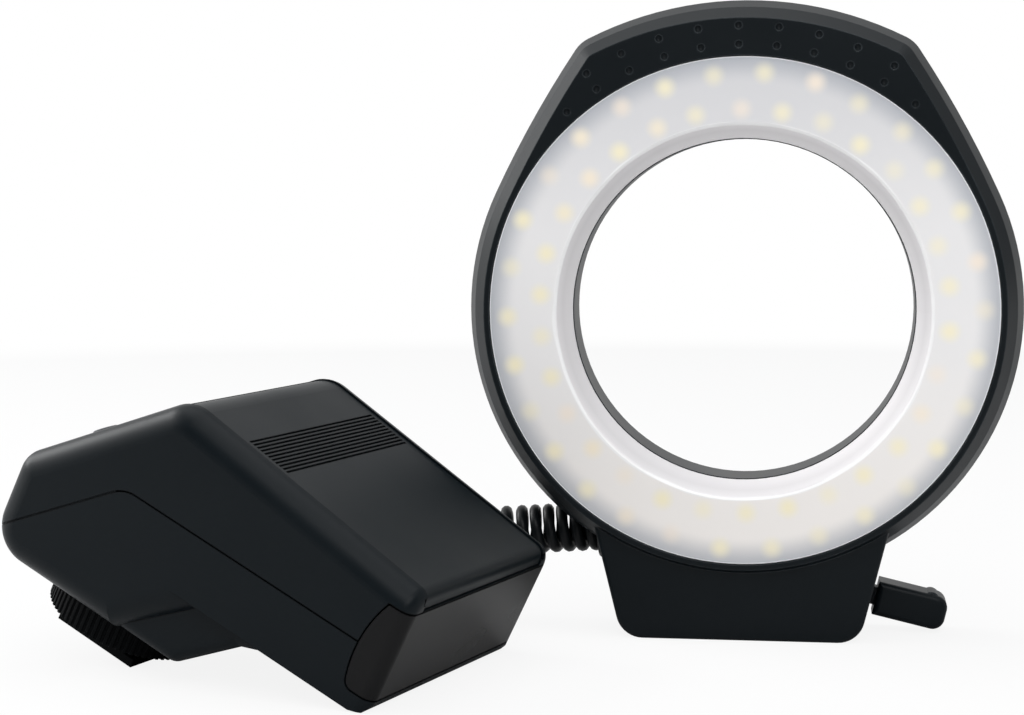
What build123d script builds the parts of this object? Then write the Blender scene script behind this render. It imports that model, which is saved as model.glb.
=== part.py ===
from build123d import *
import os
from math import acos, atan, atan2, cos, degrees, hypot, pi, radians, sin, sqrt, tan

# Macro LED light: a ring head that stands on its foot, a control box that leans on its shoe and nose,
# and the curly cord between them. Millimetres, +Z up, the ring shines towards -Y.
# The origin is the centre of the ring head's foot.

# Ring head: outline
LENS_BORE_R = 41.0
HEAD_AXIS_Z = 79.4
RING_R = 66.5
CROWN_TOP_R = 74.0
CROWN_ARC_R = 85.0
CROWN_HALF_W = 39.8
CROWN_CORNER_R = 8.0
FLANK_SWELL_DEG = 5.0

# Ring head: depths along Y, measured from the front rim
HEAD_FRONT_Y = -14.0
HEAD_DEPTH = 27.0
SEAM_DEPTH = 17.0
BROW_DEPTH = 5.0
SHOULDER_DEPTH = 11.0
BROW_INSET = 1.9
RIM_INSET = 4.6
REAR_INSET = 2.6
HEAD_WALL = 2.2
REAR_WALL = 1.8
CROWN_CAVITY = ((5.8, 2.6), (3.4, 7.0))

# Ring head: foot block
FOOT_HALF_W = 28.5
FOOT_FLARE = 0.25
FOOT_TOP_Z = 36.0
FOOT_CORNER_R = 6.5
FOOT_SETBACK = 1.6
FOOT_REAR_SETBACK = 0.4

# Grip dimples on the crown; each row lies a share of the way from the diffuser's edge to the crown's top
DIMPLE_R = 0.95
DIMPLE_PITCH_DEG = 8.05
DIMPLE_TURN_DEG = -1.2
DIMPLE_ROWS = ((0.206, 11), (0.5294, 9))

# Light engine
DIFFUSER_R = 60.4
DIFFUSER_T = 2.0
DIFFUSER_STEP_R = 45.0
DIFFUSER_RECESS = 0.3
LIP_DEPTH = 9.3
LIP_T = 1.4
LED_GAP = 3.1
LED_SIZE = (3.4, 3.4, 0.8)
LED_ROWS = ((56.3, 7.2), (48.3, 1.2))
LEDS_PER_ROW = 30
BOARD_T = 1.6
BOARD_INNER_R = 44.8
POST_R = 2.6
POST_CIRCLE_R = 53.0
POST_ANGLES = (35.0, 145.0, 215.0, 325.0)

# Lens adapter seat at the rear of the bore
ADAPTER_SEAT_R = 44.0
ADAPTER_SEAT_DEPTH = 4.5
BORE_WALL = 1.8

# Release lever and latch
PIVOT_X = 14.0
PIVOT_Z = 13.0
PIVOT_PIN_R = 1.5
LATCH_ARM = 9.0
PEG_R = 1.5
LEVER_ARM_T = 3.6
LEVER_ARM_H = 4.4
LEVER_ROOM = 0.5
LEVER_HUB_R = 3.4
PADDLE_CENTRE = (41.2, 6.5)
PADDLE_SIZE = (17.4, 8.4, 10.0)
PADDLE_TILT = 13.0
PADDLE_ROUND = 3.0
PADDLE_BUMP_R = 2.2
LEVER_LIFT_DEG = 14.0
LATCH_T = 2.2
LATCH_HALF_W = 4.0
LATCH_REACH = 1.6
LATCH_FOOT_Z = 9.2
LATCH_SPRING_X = -1.6
LATCH_SPRING_R = 1.7
LATCH_SPRING_WIRE_R = 0.25
LATCH_SPRING_TURNS = 6
LATCH_SPRING_PAD = 2.3

# Fasteners of the head
HEAD_SCREW_R = 1.1
HEAD_SCREW_HEAD_R = 2.1
HEAD_SCREW_HEAD_T = 1.3
HEAD_SCREW_SINK = 1.4
HEAD_SCREW_BITE = 7.0
CROSS_SLOT = (2.4, 0.6)
HEAD_SCREW_SPOTS = ((-47.4, 124.0), (47.4, 124.0), (-58.5, 55.5), (58.5, 55.5))

# Control box, in its own frame: A runs from tail to nose, W to the side away from the viewer, H up.
# It rests on the chin's edge; the tail's lap is where its two blocks share the tail face, in H.
BOX_HALF_W = 35.2
TAIL_A = -37.6
TAIL_TOP_H = 36.3
HUMP_A = -4.4
HUMP_H = 68.4
NOSE_A = 63.9
NOSE_TOP_H = 59.63
NOSE_BOTTOM_H = 29.5
CHIN = (62.6, 30.4)
CHIN_FROM_A = 59.6
CHIN_RISE = 2.4
PEDESTAL_H = 12.8
PEDESTAL_FRONT_A = 15.9
WEDGE_KNEE = (29.0, 25.0)
WEDGE_TOP_A = 41.2
CREASE_FOOT_A = 0.0
CREASE_TOP_A = 19.0
PEDESTAL_HALF_W = 31.5
LAP = 12.0
TAIL_LAP = (22.5, 28.2)
BOX_WALL = 2.2
HUMP_ROUND = 9.0
TAIL_ROUND = 6.5
TAIL_FOOT_ROUND = 9.5
NOSE_ROUND = 3.0
EDGE_ROUND = 6.0
PARTING_TAIL = (-36.0, 18.9)
PARTING_KNEE = (-9.2, 44.2)
PARTING_ROUND = 8.0
SEAM = 0.35
COVER_GAP = 0.3

# Battery cover
COVER_HALF_W = 29.3
COVER_RECESS = 0.4
COVER_T = 2.4
COVER_LIP_GAP = 0.4
COVER_REAR_A = -8.5
TONGUE_W = 1.1
TONGUE_T = 1.2
TONGUE_FROM_A = 28.0
RAIL_FROM_A = 33.0
RAIL_T = 1.5
RIB_COUNT = 11
RIB_FROM_A = 10.5
RIB_PITCH = 1.08
RIB_GROOVE = (0.5, 0.45)
RIB_HALF_W = 27.6

# Front window: its edge seen from the side, measured back from the nose
WINDOW_TOP_DROP = 4.5
WINDOW_BOTTOM_RISE = 3.9
WINDOW_TOP_BACK = 5.6
WINDOW_BULGE_BACK = 8.5
WINDOW_BOTTOM_BACK = 7.2
WINDOW_CORNER_R = 2.5
WINDOW_T = 1.7

# Control panel on the rear slope
PANEL_SIZE = (54.0, 27.0)
PANEL_T = 1.4
PANEL_ROUND = 3.0
PANEL_LEDGE = 2.0
BUTTON_COUNT = 5
BUTTON_END_MARGIN = 8.2
BUTTON_EDGE_MARGIN = 6.5
BUTTON_R = 3.0
BUTTON_PROUD = 0.9
BUTTON_TRAVEL = 0.8
BUTTON_FLANGE_R = 3.7
BUTTON_FLANGE_T = 0.8
SCREEN_H = 10.0
SCREEN_LEFT_MARGIN = 7.0
SCREEN_RIGHT_MARGIN = 17.0
SCREEN_TOP_MARGIN = 3.5
LAMP_R = 1.5
LAMP_MARGIN = 8.0
DOME_R = 2.5
DOME_T = 0.35
KEY_BOARD_T = 1.2
KEY_BOARD_MARGIN = 3.0
KEY_POST_EDGE = 1.6
KEY_POST_R = 1.2

# Power switch on the tail
SWITCH_KNOB = (7.0, 4.0)
SWITCH_PROUD = 1.3
SWITCH_TRAVEL = 4.0
SWITCH_GROOVES = 5
SWITCH_AT = (0.0, 29.5)
SWITCH_PLATE_EDGE = 1.0

# Batteries: four AA cells side by side
CELL_R = 7.25
CELL_LENGTH = 50.5
CELL_NUB = (2.7, 1.2)
CELL_COUNT = 4
CELL_PITCH = 14.6
TRAY_FLOOR_H = 38.7
TRAY_WALL = 1.5
TRAY_REAR_A = -4.6
TRAY_WALL_TOP_H = 50.0
CONTACT_T = 0.4
BATTERY_SPRING_LENGTH = 4.5
BATTERY_SPRING_WIRE_R = 0.35
BATTERY_SPRING_R = 2.6
MAIN_BOARD_SIZE = (46.0, 30.0, 1.4)
MAIN_BOARD_A = 27.0
MAIN_BOARD_GAP = 1.0

# Accessory shoe foot
FOOT_A = -9.7
FOOT_W = -9.7
SHOE_LENGTH = 22.0
SHOE_WIDTH = 18.6
SHOE_T = 2.0
NECK_WIDTH = 12.4
NECK_TOP_H = 3.1
STEM_R = 5.4
WASHER_H = 4.0
WASHER_T = 1.0
WHEEL_R = 18.2
WHEEL_T = 7.2
WHEEL_KNURLS = 70
WHEEL_KNURL_R = 0.45
FLANGE_R = 9.0
FLANGE_T = 2.0
PIN_R = 1.1
PIN_PROUD = 0.6
PIN_COLLAR_R = 2.1

# Screws of the control box
BOX_SCREW_R = 1.1
BOX_SCREW_HEAD_R = 2.2
BOX_SCREW_HEAD_T = 1.5
BOX_SCREW_SINK = 0.5
TAIL_SCREW_BITE = 6.0
NOSE_SCREW_BITE = 1.0
BOSS_R = 3.5
TAIL_SCREW_AT = (-27.0, 22.0)
NOSE_SCREW_AT = (44.0, 20.0)
TRAY_POST_AT = (2.0, 24.0)
TAIL_BOSS_TOP_H = 36.0

# Curly cord
WIRE_R = 1.42
CURL_R = 4.7
CURL_PITCH = 3.3
CURL_PITCH_BENT = 4.22
STRAIGHT_RUN = 24.0
LEAD_BEND_R = 2.8
CORD_SOCKET_DEPTH = 6.5
CORD_SOCKET_R = 6.9
CORD_GLAND_R = 7.7
CORD_GLAND_FLOOR = 1.6
GLAND_PROUD = 0.5
HEAD_EXIT = (-35.0, 3.4, 24.8)
HEAD_EXIT_DROP = 4.0
BOX_EXIT = (-21.5, 25.5)
CORD_POINTS = (
    (-62.3, 3.4, 22.9),
    (-73.8, 8.5, 21.5),
    (-83.5, 19.0, 21.0),
    (-98.8, 23.8, 24.0),
    (-114.5, 20.3, 28.5),
)
CORD_LAST_RUN = 14.0

# Where the control box lies on the table
BOX_X = -132.6
BOX_Y = -40.4
BOX_YAW = 17.49

FIT = 0.15
RUNNING = 0.06

HEAD_REAR_Y = HEAD_FRONT_Y + HEAD_DEPTH
SEAM_Y = HEAD_FRONT_Y + SEAM_DEPTH
REAR_INNER_Y = HEAD_REAR_Y - REAR_WALL
LIP_END_Y = HEAD_FRONT_Y + LIP_DEPTH
BOARD_FRONT_Y = HEAD_FRONT_Y + DIFFUSER_RECESS + DIFFUSER_T + LED_GAP + LED_SIZE[2]
BOARD_REAR_Y = BOARD_FRONT_Y + BOARD_T
SEAT_FLOOR_Y = HEAD_REAR_Y - ADAPTER_SEAT_DEPTH
SCREW_SEAT_Y = HEAD_REAR_Y - HEAD_SCREW_HEAD_T - HEAD_SCREW_SINK
WINDOW_TOP_H = NOSE_TOP_H - WINDOW_TOP_DROP

nodes = {}


def add(name, *solids):
    nodes[name] = Compound(children=list(solids)) if len(solids) > 1 else solids[0]


# Ring head: shared outlines

def head_slab(sketch, front_y, rear_y):
    """A sketch centred on the ring's axis, drawn as the viewer sees it, made solid between two depths."""
    rear = Plane(origin=(0, rear_y, HEAD_AXIS_Z), x_dir=(1, 0, 0), z_dir=(0, -1, 0))
    return extrude(rear * sketch, amount=rear_y - front_y)


def foot_slab(sketch, front_y, rear_y):
    """The same, for a sketch measured from the table."""
    rear = Plane(origin=(0, rear_y, 0), x_dir=(1, 0, 0), z_dir=(0, -1, 0))
    return extrude(rear * sketch, amount=rear_y - front_y)


def head_tube(outer_r, inner_r, front_y, rear_y):
    return head_slab(Circle(outer_r) - Circle(inner_r), front_y, rear_y)


def y_cylinder(x, z, radius, front_y, rear_y):
    return foot_slab(Pos(x, z) * Circle(radius), front_y, rear_y)


def head_outline(inset):
    """The ring with its crown, drawn in by a margin: a circle, two full flanks and a flat arc."""
    corner_y = CROWN_TOP_R - CROWN_ARC_R + sqrt(CROWN_ARC_R ** 2 - CROWN_HALF_W ** 2)
    tangent_turn = atan2(CROWN_HALF_W, corner_y) + acos(RING_R / hypot(CROWN_HALF_W, corner_y))
    turn = tangent_turn + radians(FLANK_SWELL_DEG)
    touch = (RING_R * sin(turn), RING_R * cos(turn))
    along = CROWN_HALF_W * sin(turn) + corner_y * cos(turn)
    flank_r = hypot(CROWN_HALF_W - touch[0], corner_y - touch[1]) ** 2 / (2 * (RING_R - along))
    centre = ((RING_R - flank_r) * sin(turn), (RING_R - flank_r) * cos(turn))
    lean = (atan2(CROWN_HALF_W - centre[0], corner_y - centre[1]) + turn) / 2
    middle = (centre[0] + flank_r * sin(lean), centre[1] + flank_r * cos(lean))
    edges = [
        ThreePointArc(touch, (0, -RING_R), (-touch[0], touch[1])),
        ThreePointArc((-touch[0], touch[1]), (-middle[0], middle[1]), (-CROWN_HALF_W, corner_y)),
        ThreePointArc((-CROWN_HALF_W, corner_y), (0, CROWN_TOP_R), (CROWN_HALF_W, corner_y)),
        ThreePointArc((CROWN_HALF_W, corner_y), middle, touch),
    ]
    outline = make_face(edges)
    outline = fillet(outline.vertices().sort_by(Axis.Y)[-2:], radius=CROWN_CORNER_R)
    return offset(outline, amount=-inset, kind=Kind.INTERSECTION) if inset else outline


def foot_outline(inset):
    spread = FOOT_HALF_W + FOOT_FLARE * FOOT_TOP_Z
    outline = make_face(Polyline((-FOOT_HALF_W, 0), (FOOT_HALF_W, 0), (spread, FOOT_TOP_Z),
                                 (-spread, FOOT_TOP_Z), close=True))
    outline = fillet(outline.vertices().sort_by(Axis.Y)[:2], radius=FOOT_CORNER_R)
    return offset(outline, amount=-inset, kind=Kind.INTERSECTION) if inset else outline


def head_section(y, inset):
    return Plane(origin=(0, y, HEAD_AXIS_Z), x_dir=(1, 0, 0), z_dir=(0, -1, 0)) * head_outline(inset)


def foot_side_x(z):
    return FOOT_HALF_W + FOOT_FLARE * z


# Ring head: housings

def front_shape():
    brow_y, shoulder_y = HEAD_FRONT_Y + BROW_DEPTH, HEAD_FRONT_Y + SHOULDER_DEPTH
    brow = loft([head_section(brow_y, BROW_INSET), head_section(HEAD_FRONT_Y, RIM_INSET)], ruled=True)
    slope = loft([head_section(shoulder_y, 0), head_section(brow_y, BROW_INSET)], ruled=True)
    band = head_slab(head_outline(0), shoulder_y, SEAM_Y)
    block = foot_slab(foot_outline(0), HEAD_FRONT_Y + FOOT_SETBACK, SEAM_Y)
    rim = block.faces().sort_by(Axis.Y)[0].edges().filter_by(lambda e: e.center().Z < FOOT_TOP_Z - 1)
    return brow + slope + band + fillet(rim, radius=1.0)


def rear_shape():
    straight = SEAM_Y + (HEAD_REAR_Y - SEAM_Y) * 0.3
    band = head_slab(head_outline(0), SEAM_Y, straight)
    taper = loft([head_section(HEAD_REAR_Y, REAR_INSET), head_section(straight, 0)], ruled=True)
    block = foot_slab(foot_outline(0), SEAM_Y, HEAD_REAR_Y - FOOT_REAR_SETBACK)
    rim = block.faces().sort_by(Axis.Y)[-1].edges().filter_by(lambda e: e.center().Z < FOOT_TOP_Z - 1)
    return band + taper + fillet(rim, radius=1.0)


HEAD_PORT = Pos(*HEAD_EXIT) * Rot(0, -90 - HEAD_EXIT_DROP, 0)
BOX_PORT = Pos(BOX_EXIT[0], BOX_HALF_W, BOX_EXIT[1]) * Rot(-90, 0, 0)
FLOOR_AT = GLAND_PROUD - CORD_SOCKET_DEPTH


def gland_hole(port):
    return port * Cylinder(CORD_GLAND_R + RUNNING, 4 * CORD_SOCKET_DEPTH)


def crown_dimples():
    pits = []
    for share, count in DIMPLE_ROWS:
        radius = DIFFUSER_R + share * (CROWN_TOP_R - DIFFUSER_R)
        for i in range(count):
            turn = radians((i - (count - 1) / 2) * DIMPLE_PITCH_DEG + DIMPLE_TURN_DEG)
            pits.append(Pos(radius * sin(turn), HEAD_FRONT_Y - 0.35, HEAD_AXIS_Z + radius * cos(turn))
                        * Sphere(DIMPLE_R))
    return pits


def screw_boss(x, z, front_y, rear_y):
    return y_cylinder(x, z, HEAD_SCREW_HEAD_R + 1.0, front_y, rear_y)


def front_bezel():
    light_r = DIFFUSER_R + FIT
    ledge_y = BOARD_REAR_Y
    shape = front_shape() - head_slab(Circle(light_r), HEAD_FRONT_Y - 1, SEAM_Y)
    room = foot_slab(foot_outline(HEAD_WALL), HEAD_FRONT_Y + FOOT_SETBACK + HEAD_WALL, SEAM_Y)
    shape -= room - head_slab(Circle(light_r + HEAD_WALL), HEAD_FRONT_Y, ledge_y)
    wall = head_slab(Circle(light_r + HEAD_WALL), HEAD_FRONT_Y, SEAM_Y)
    for inset, depth in CROWN_CAVITY:
        shape -= head_slab(head_outline(inset), HEAD_FRONT_Y + depth, SEAM_Y) - wall
    shape -= gland_hole(HEAD_PORT)
    for pit in crown_dimples():
        shape -= pit
    for x, z in HEAD_SCREW_SPOTS:
        shape -= y_cylinder(x, z, HEAD_SCREW_R + RUNNING, SEAM_Y - HEAD_SCREW_BITE - 1, SEAM_Y + 1)
    return shape


def rear_housing():
    shell = rear_shape() - head_slab(Circle(RING_R - HEAD_WALL), SEAM_Y - 1, REAR_INNER_Y)
    shell -= foot_slab(foot_outline(HEAD_WALL), SEAM_Y - 1, REAR_INNER_Y)
    shell -= head_slab(Circle(ADAPTER_SEAT_R), REAR_INNER_Y - 1, HEAD_REAR_Y + 1)
    seat_r = ADAPTER_SEAT_R + BORE_WALL
    bore = head_tube(LENS_BORE_R + BORE_WALL, LENS_BORE_R, LIP_END_Y + FIT, SEAT_FLOOR_Y)
    step = head_tube(seat_r, LENS_BORE_R, SEAT_FLOOR_Y - BORE_WALL, SEAT_FLOOR_Y)
    seat = head_tube(seat_r, ADAPTER_SEAT_R, SEAT_FLOOR_Y, HEAD_REAR_Y)
    shell += bore + step + seat
    for angle in POST_ANGLES:
        x = POST_CIRCLE_R * cos(radians(angle))
        z = HEAD_AXIS_Z + POST_CIRCLE_R * sin(radians(angle))
        shell += y_cylinder(x, z, POST_R, BOARD_REAR_Y, REAR_INNER_Y + 0.5)
    for x, z in HEAD_SCREW_SPOTS:
        shell += screw_boss(x, z, SEAM_Y, REAR_INNER_Y + 0.5)
        shell -= y_cylinder(x, z, HEAD_SCREW_R + RUNNING, SEAM_Y - 1, HEAD_REAR_Y + 1)
        shell -= y_cylinder(x, z, HEAD_SCREW_HEAD_R + FIT, SCREW_SEAT_Y, HEAD_REAR_Y + 1)
    boss_y = LEVER_REAR_Y + 0.2
    shell += y_cylinder(PIVOT_X, PIVOT_Z, PIVOT_PIN_R + 1.6, boss_y, REAR_INNER_Y)
    shell -= y_cylinder(PIVOT_X, PIVOT_Z, PIVOT_PIN_R + RUNNING, boss_y, REAR_INNER_Y)
    tip_z = HEAD_AXIS_Z - ADAPTER_SEAT_R
    slot_depth = (LATCH_Y - LATCH_T / 2 - FIT, LATCH_Y + LATCH_T / 2 + FIT)
    slot = Rectangle(2 * (LATCH_HALF_W + FIT), 3 * BORE_WALL)
    shell -= foot_slab(Pos(0, tip_z) * slot, *slot_depth)
    shell -= gland_hole(HEAD_PORT)
    shell -= lever_slot()
    return shell


def cross_slot():
    length, width = CROSS_SLOT
    return Rectangle(length, width) + Rectangle(width, length)


def head_screws():
    for x, z in HEAD_SCREW_SPOTS:
        top_y = SCREW_SEAT_Y + HEAD_SCREW_HEAD_T
        shank = y_cylinder(x, z, HEAD_SCREW_R, SEAM_Y - HEAD_SCREW_BITE, SCREW_SEAT_Y)
        head = y_cylinder(x, z, HEAD_SCREW_HEAD_R, SCREW_SEAT_Y, top_y)
        yield shank + head - foot_slab(Pos(x, z) * cross_slot(), top_y - CROSS_SLOT[1], top_y)


# Ring head: light engine

def diffuser_ring():
    face_y = HEAD_FRONT_Y + DIFFUSER_RECESS
    back_y = face_y + DIFFUSER_T
    step_r, throat_r = DIFFUSER_STEP_R, LENS_BORE_R + 0.2
    section = make_face(Polyline(
        (DIFFUSER_R, face_y), (step_r, face_y), (step_r - 0.7, face_y + 0.5), (throat_r, LIP_END_Y),
        (throat_r + LIP_T, LIP_END_Y), (step_r + LIP_T, back_y), (DIFFUSER_R, back_y), close=True))
    turned = revolve(Plane.XY * section, axis=Axis.Y)
    return Pos(0, 0, HEAD_AXIS_Z) * turned


def led_board():
    return head_tube(DIFFUSER_R - 0.2, BOARD_INNER_R, BOARD_FRONT_Y, BOARD_REAR_Y)


def led_emitters():
    width, height, depth = LED_SIZE
    for radius, phase in LED_ROWS:
        for i in range(LEDS_PER_ROW):
            angle = phase + i * 360 / LEDS_PER_ROW
            sketch = Rot(0, 0, angle) * Pos(0, radius) * RectangleRounded(width, height, 0.4)
            yield head_slab(sketch, BOARD_FRONT_Y - depth, BOARD_FRONT_Y)


def board_spacer():
    back_y = HEAD_FRONT_Y + DIFFUSER_RECESS + DIFFUSER_T
    return head_tube(DIFFUSER_R - 0.1, DIFFUSER_R - 1.6, back_y, BOARD_FRONT_Y)


def head_terminal_board():
    post_y = HEAD_FRONT_Y + FOOT_SETBACK + HEAD_WALL
    plate = foot_slab(Pos(-8, 9) * Rectangle(22, 9), post_y + 3, post_y + 4.4)
    socket = foot_slab(Pos(-12, 9) * Rectangle(8, 5), post_y + 4.4, post_y + 8)
    legs = [y_cylinder(x, 9, 1.4, post_y, post_y + 3) for x in (-16, 0)]
    return plate + socket + legs[0] + legs[1]


# Release lever, its pin, and the latch that it draws down

LATCH_Y = SEAT_FLOOR_Y + 0.2 + LATCH_T / 2
LEVER_REAR_Y = LATCH_Y - LATCH_T / 2 - 0.3
LEVER_FRONT_Y = LEVER_REAR_Y - LEVER_ARM_T
LATCH_SPRING_Y = LATCH_Y - LATCH_T / 2 + LATCH_SPRING_R - 2.0


def lever_slot():
    """The window in the side wall that the arm swings in, from rest to fully lifted."""
    reach = foot_side_x(PIVOT_Z) - PIVOT_X
    droop = atan2(PIVOT_Z - PADDLE_CENTRE[1], PADDLE_CENTRE[0] - PIVOT_X)
    half_arm = LEVER_ARM_H / 2 / cos(droop) + LEVER_ROOM
    low = PIVOT_Z - (reach + 2) * tan(droop) - half_arm
    high = PIVOT_Z + reach * tan(radians(LEVER_LIFT_DEG) - droop) + half_arm
    opening = Pos(foot_side_x(PIVOT_Z), (low + high) / 2) * Rectangle(14, high - low)
    return foot_slab(opening, LEVER_FRONT_Y - LEVER_ROOM, LEVER_REAR_Y + LEVER_ROOM)


def release_lever():
    hub = y_cylinder(PIVOT_X, PIVOT_Z, LEVER_HUB_R, LEVER_FRONT_Y, LEVER_REAR_Y)
    tail_x = PIVOT_X - LATCH_ARM
    tail = y_cylinder(tail_x, PIVOT_Z, LEVER_HUB_R - 0.8, LEVER_FRONT_Y, LEVER_REAR_Y)
    bridge = Pos((tail_x + PIVOT_X) / 2, PIVOT_Z) * Rectangle(LATCH_ARM, 3.6)
    tail += foot_slab(bridge, LEVER_FRONT_Y, LEVER_REAR_Y)
    peg = y_cylinder(tail_x, PIVOT_Z, PEG_R, LEVER_REAR_Y, LATCH_Y + LATCH_T / 2)
    paddle_x, paddle_z = PADDLE_CENTRE
    length, height, depth = PADDLE_SIZE
    run = hypot(paddle_x - PIVOT_X, paddle_z - PIVOT_Z)
    lean = degrees(atan2(paddle_z - PIVOT_Z, paddle_x - PIVOT_X))
    middle = Pos((paddle_x + PIVOT_X) / 2, (paddle_z + PIVOT_Z) / 2)
    arm = foot_slab(middle * Rot(0, 0, lean) * Rectangle(run, LEVER_ARM_H), LEVER_FRONT_Y, LEVER_REAR_Y)
    pad_sketch = Rectangle(length, height)
    pad_sketch = fillet(pad_sketch.vertices().sort_by(Axis.X)[-2:], radius=PADDLE_ROUND)
    pad_y = (LEVER_FRONT_Y + LEVER_REAR_Y) / 2
    pad_sketch = Pos(*PADDLE_CENTRE) * Rot(0, 0, -PADDLE_TILT) * pad_sketch
    pad = foot_slab(pad_sketch, pad_y - depth / 2, pad_y + depth / 2)
    rims = pad.edges().filter_by(lambda e: abs(abs(e.center().Y - pad_y) - depth / 2) < 0.01)
    pad = fillet(rims, radius=1.4)
    bump_spot = Pos(paddle_x, pad_y, paddle_z) * Rot(0, PADDLE_TILT, 0)
    bump = bump_spot * Pos(length / 2 - 4.2, 0, height / 2 - PADDLE_BUMP_R + 0.5) * Rot(90, 0, 0) \
        * Cylinder(PADDLE_BUMP_R, depth - 3.2)
    lever = hub + tail + peg + arm + pad + bump
    return lever - y_cylinder(PIVOT_X, PIVOT_Z, PIVOT_PIN_R + RUNNING, LEVER_FRONT_Y - 1, LEVER_REAR_Y + 1)


def lever_pivot_pin():
    head_y = LEVER_FRONT_Y - 0.3
    shank = y_cylinder(PIVOT_X, PIVOT_Z, PIVOT_PIN_R, head_y, REAR_INNER_Y)
    return shank + y_cylinder(PIVOT_X, PIVOT_Z, PIVOT_PIN_R + 0.9, head_y - 0.8, head_y)


def latch_slider():
    front_y, rear_y = LATCH_Y - LATCH_T / 2, LATCH_Y + LATCH_T / 2
    tip_z = HEAD_AXIS_Z - ADAPTER_SEAT_R + LATCH_REACH
    bar = foot_slab(Pos(0, (tip_z + LATCH_FOOT_Z) / 2) * Rectangle(2 * LATCH_HALF_W, tip_z - LATCH_FOOT_Z),
                    front_y, rear_y)
    peg_x = PIVOT_X - LATCH_ARM
    cheek = foot_slab(Pos(peg_x - 1.5, PIVOT_Z) * Rectangle(10, 7.4), front_y, rear_y)
    opening = Pos(peg_x + 0.2, PIVOT_Z) * SlotOverall(2 * PEG_R + 1.0, 2 * (PEG_R + RUNNING))
    return bar + cheek - foot_slab(opening, front_y - 1, rear_y + 1) + latch_foot(rear_y)


def latch_foot(rear_y):
    pad = Pos(LATCH_SPRING_X, LATCH_FOOT_Z + 0.9) * Rectangle(2 * LATCH_SPRING_PAD, 1.8)
    return foot_slab(pad, LATCH_SPRING_Y - LATCH_SPRING_PAD, rear_y)


# Coils: one unbroken tube each, on pairs of arcs

def biarc(start, start_dir, end, end_dir):
    """Two arcs that leave one point and reach the next along the given directions."""
    chord, both = end - start, start_dir + end_dir
    spread = 2 * (1 - start_dir.dot(end_dir))
    lean = chord.dot(both)
    reach = (sqrt(lean * lean + spread * chord.dot(chord)) - lean) / spread
    first, second = start + start_dir * reach, end - end_dir * reach
    middle = (first + second) * 0.5
    halfway = Edge.make_tangent_arc(start, start_dir, middle)
    return [halfway, Edge.make_tangent_arc(middle, second - first, end)]


def curl_stations(route, curl_r, pitch_at, lead, side):
    """Points and directions on a helix round a route, four to a turn."""
    stations, at, turn = [], lead, 0.0
    while at <= route.length - lead:
        centre = route.position_at(at, position_mode=PositionMode.LENGTH)
        along = route.tangent_at(at, position_mode=PositionMode.LENGTH)
        side = (side - along * side.dot(along)).normalized()
        up = along.cross(side)
        outward = side * cos(turn) + up * sin(turn)
        sweep_dir = up * cos(turn) - side * sin(turn)
        pitch = pitch_at(at)
        heading = (sweep_dir * curl_r + along * (pitch / (2 * pi))).normalized()
        stations.append((centre + outward * curl_r, heading, along))
        at += pitch / 4
        turn += pi / 2
    return stations


def wound_path(stations):
    edges = []
    for (start, start_dir, _), (end, end_dir, _) in zip(stations, stations[1:]):
        edges += biarc(start, start_dir, end, end_dir)
    return edges


def tube_along(edges, radius):
    path = Wire(edges)
    start = path.position_at(0)
    section = Plane(origin=start, z_dir=path.tangent_at(0)) * Circle(radius)
    return sweep(section, path=path), path


def plain_spring(low, high, coil_r, wire_r, turns, side):
    route = Wire([Edge.make_line(low, high)])
    stations = curl_stations(route, coil_r, lambda at: route.length / turns, 0.0, side)
    return tube_along(wound_path(stations), wire_r)[0]


def latch_spring():
    low = Vector(LATCH_SPRING_X, LATCH_SPRING_Y, HEAD_WALL + LATCH_SPRING_WIRE_R + 0.1)
    high = Vector(LATCH_SPRING_X, LATCH_SPRING_Y, LATCH_FOOT_Z - LATCH_SPRING_WIRE_R - 0.05)
    return plain_spring(low, high, LATCH_SPRING_R, LATCH_SPRING_WIRE_R, LATCH_SPRING_TURNS,
                        Vector(1, 0, 0))


# Control box: its frame on the table

BOX_PITCH = degrees(atan(CHIN[1] / (CHIN[0] - (FOOT_A + SHOE_LENGTH / 2))))
BOX_Z = sin(radians(BOX_PITCH)) * (FOOT_A + SHOE_LENGTH / 2)
BOX = Pos(BOX_X, BOX_Y, BOX_Z) * Rot(0, 0, -BOX_YAW) * Rot(0, BOX_PITCH, 0)


def profile(sketch, low_w, high_w):
    """A side view of the box, drawn in A and H, made solid between two widths."""
    far = Plane(origin=(0, high_w, 0), x_dir=(1, 0, 0), z_dir=(0, -1, 0))
    return extrude(far * sketch, amount=high_w - low_w)


def across(sketch, half_w):
    return profile(sketch, -half_w, half_w)


def polygon(*points):
    return make_face(Polyline(*points, close=True))


def block(low, high):
    size = [high[i] - low[i] for i in range(3)]
    middle = [(high[i] + low[i]) / 2 for i in range(3)]
    return Pos(*middle) * Box(*size)


def h_cylinder(a, w, radius, low_h, high_h):
    return Pos(a, w, (low_h + high_h) / 2) * Cylinder(radius, high_h - low_h)


def top_h(a):
    return NOSE_TOP_H + (HUMP_H - NOSE_TOP_H) * (NOSE_A - a) / (NOSE_A - HUMP_A)


def near(vertex_set, a, h):
    return vertex_set.sort_by(lambda v: hypot(v.X - a, v.Y - h))[0]


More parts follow.
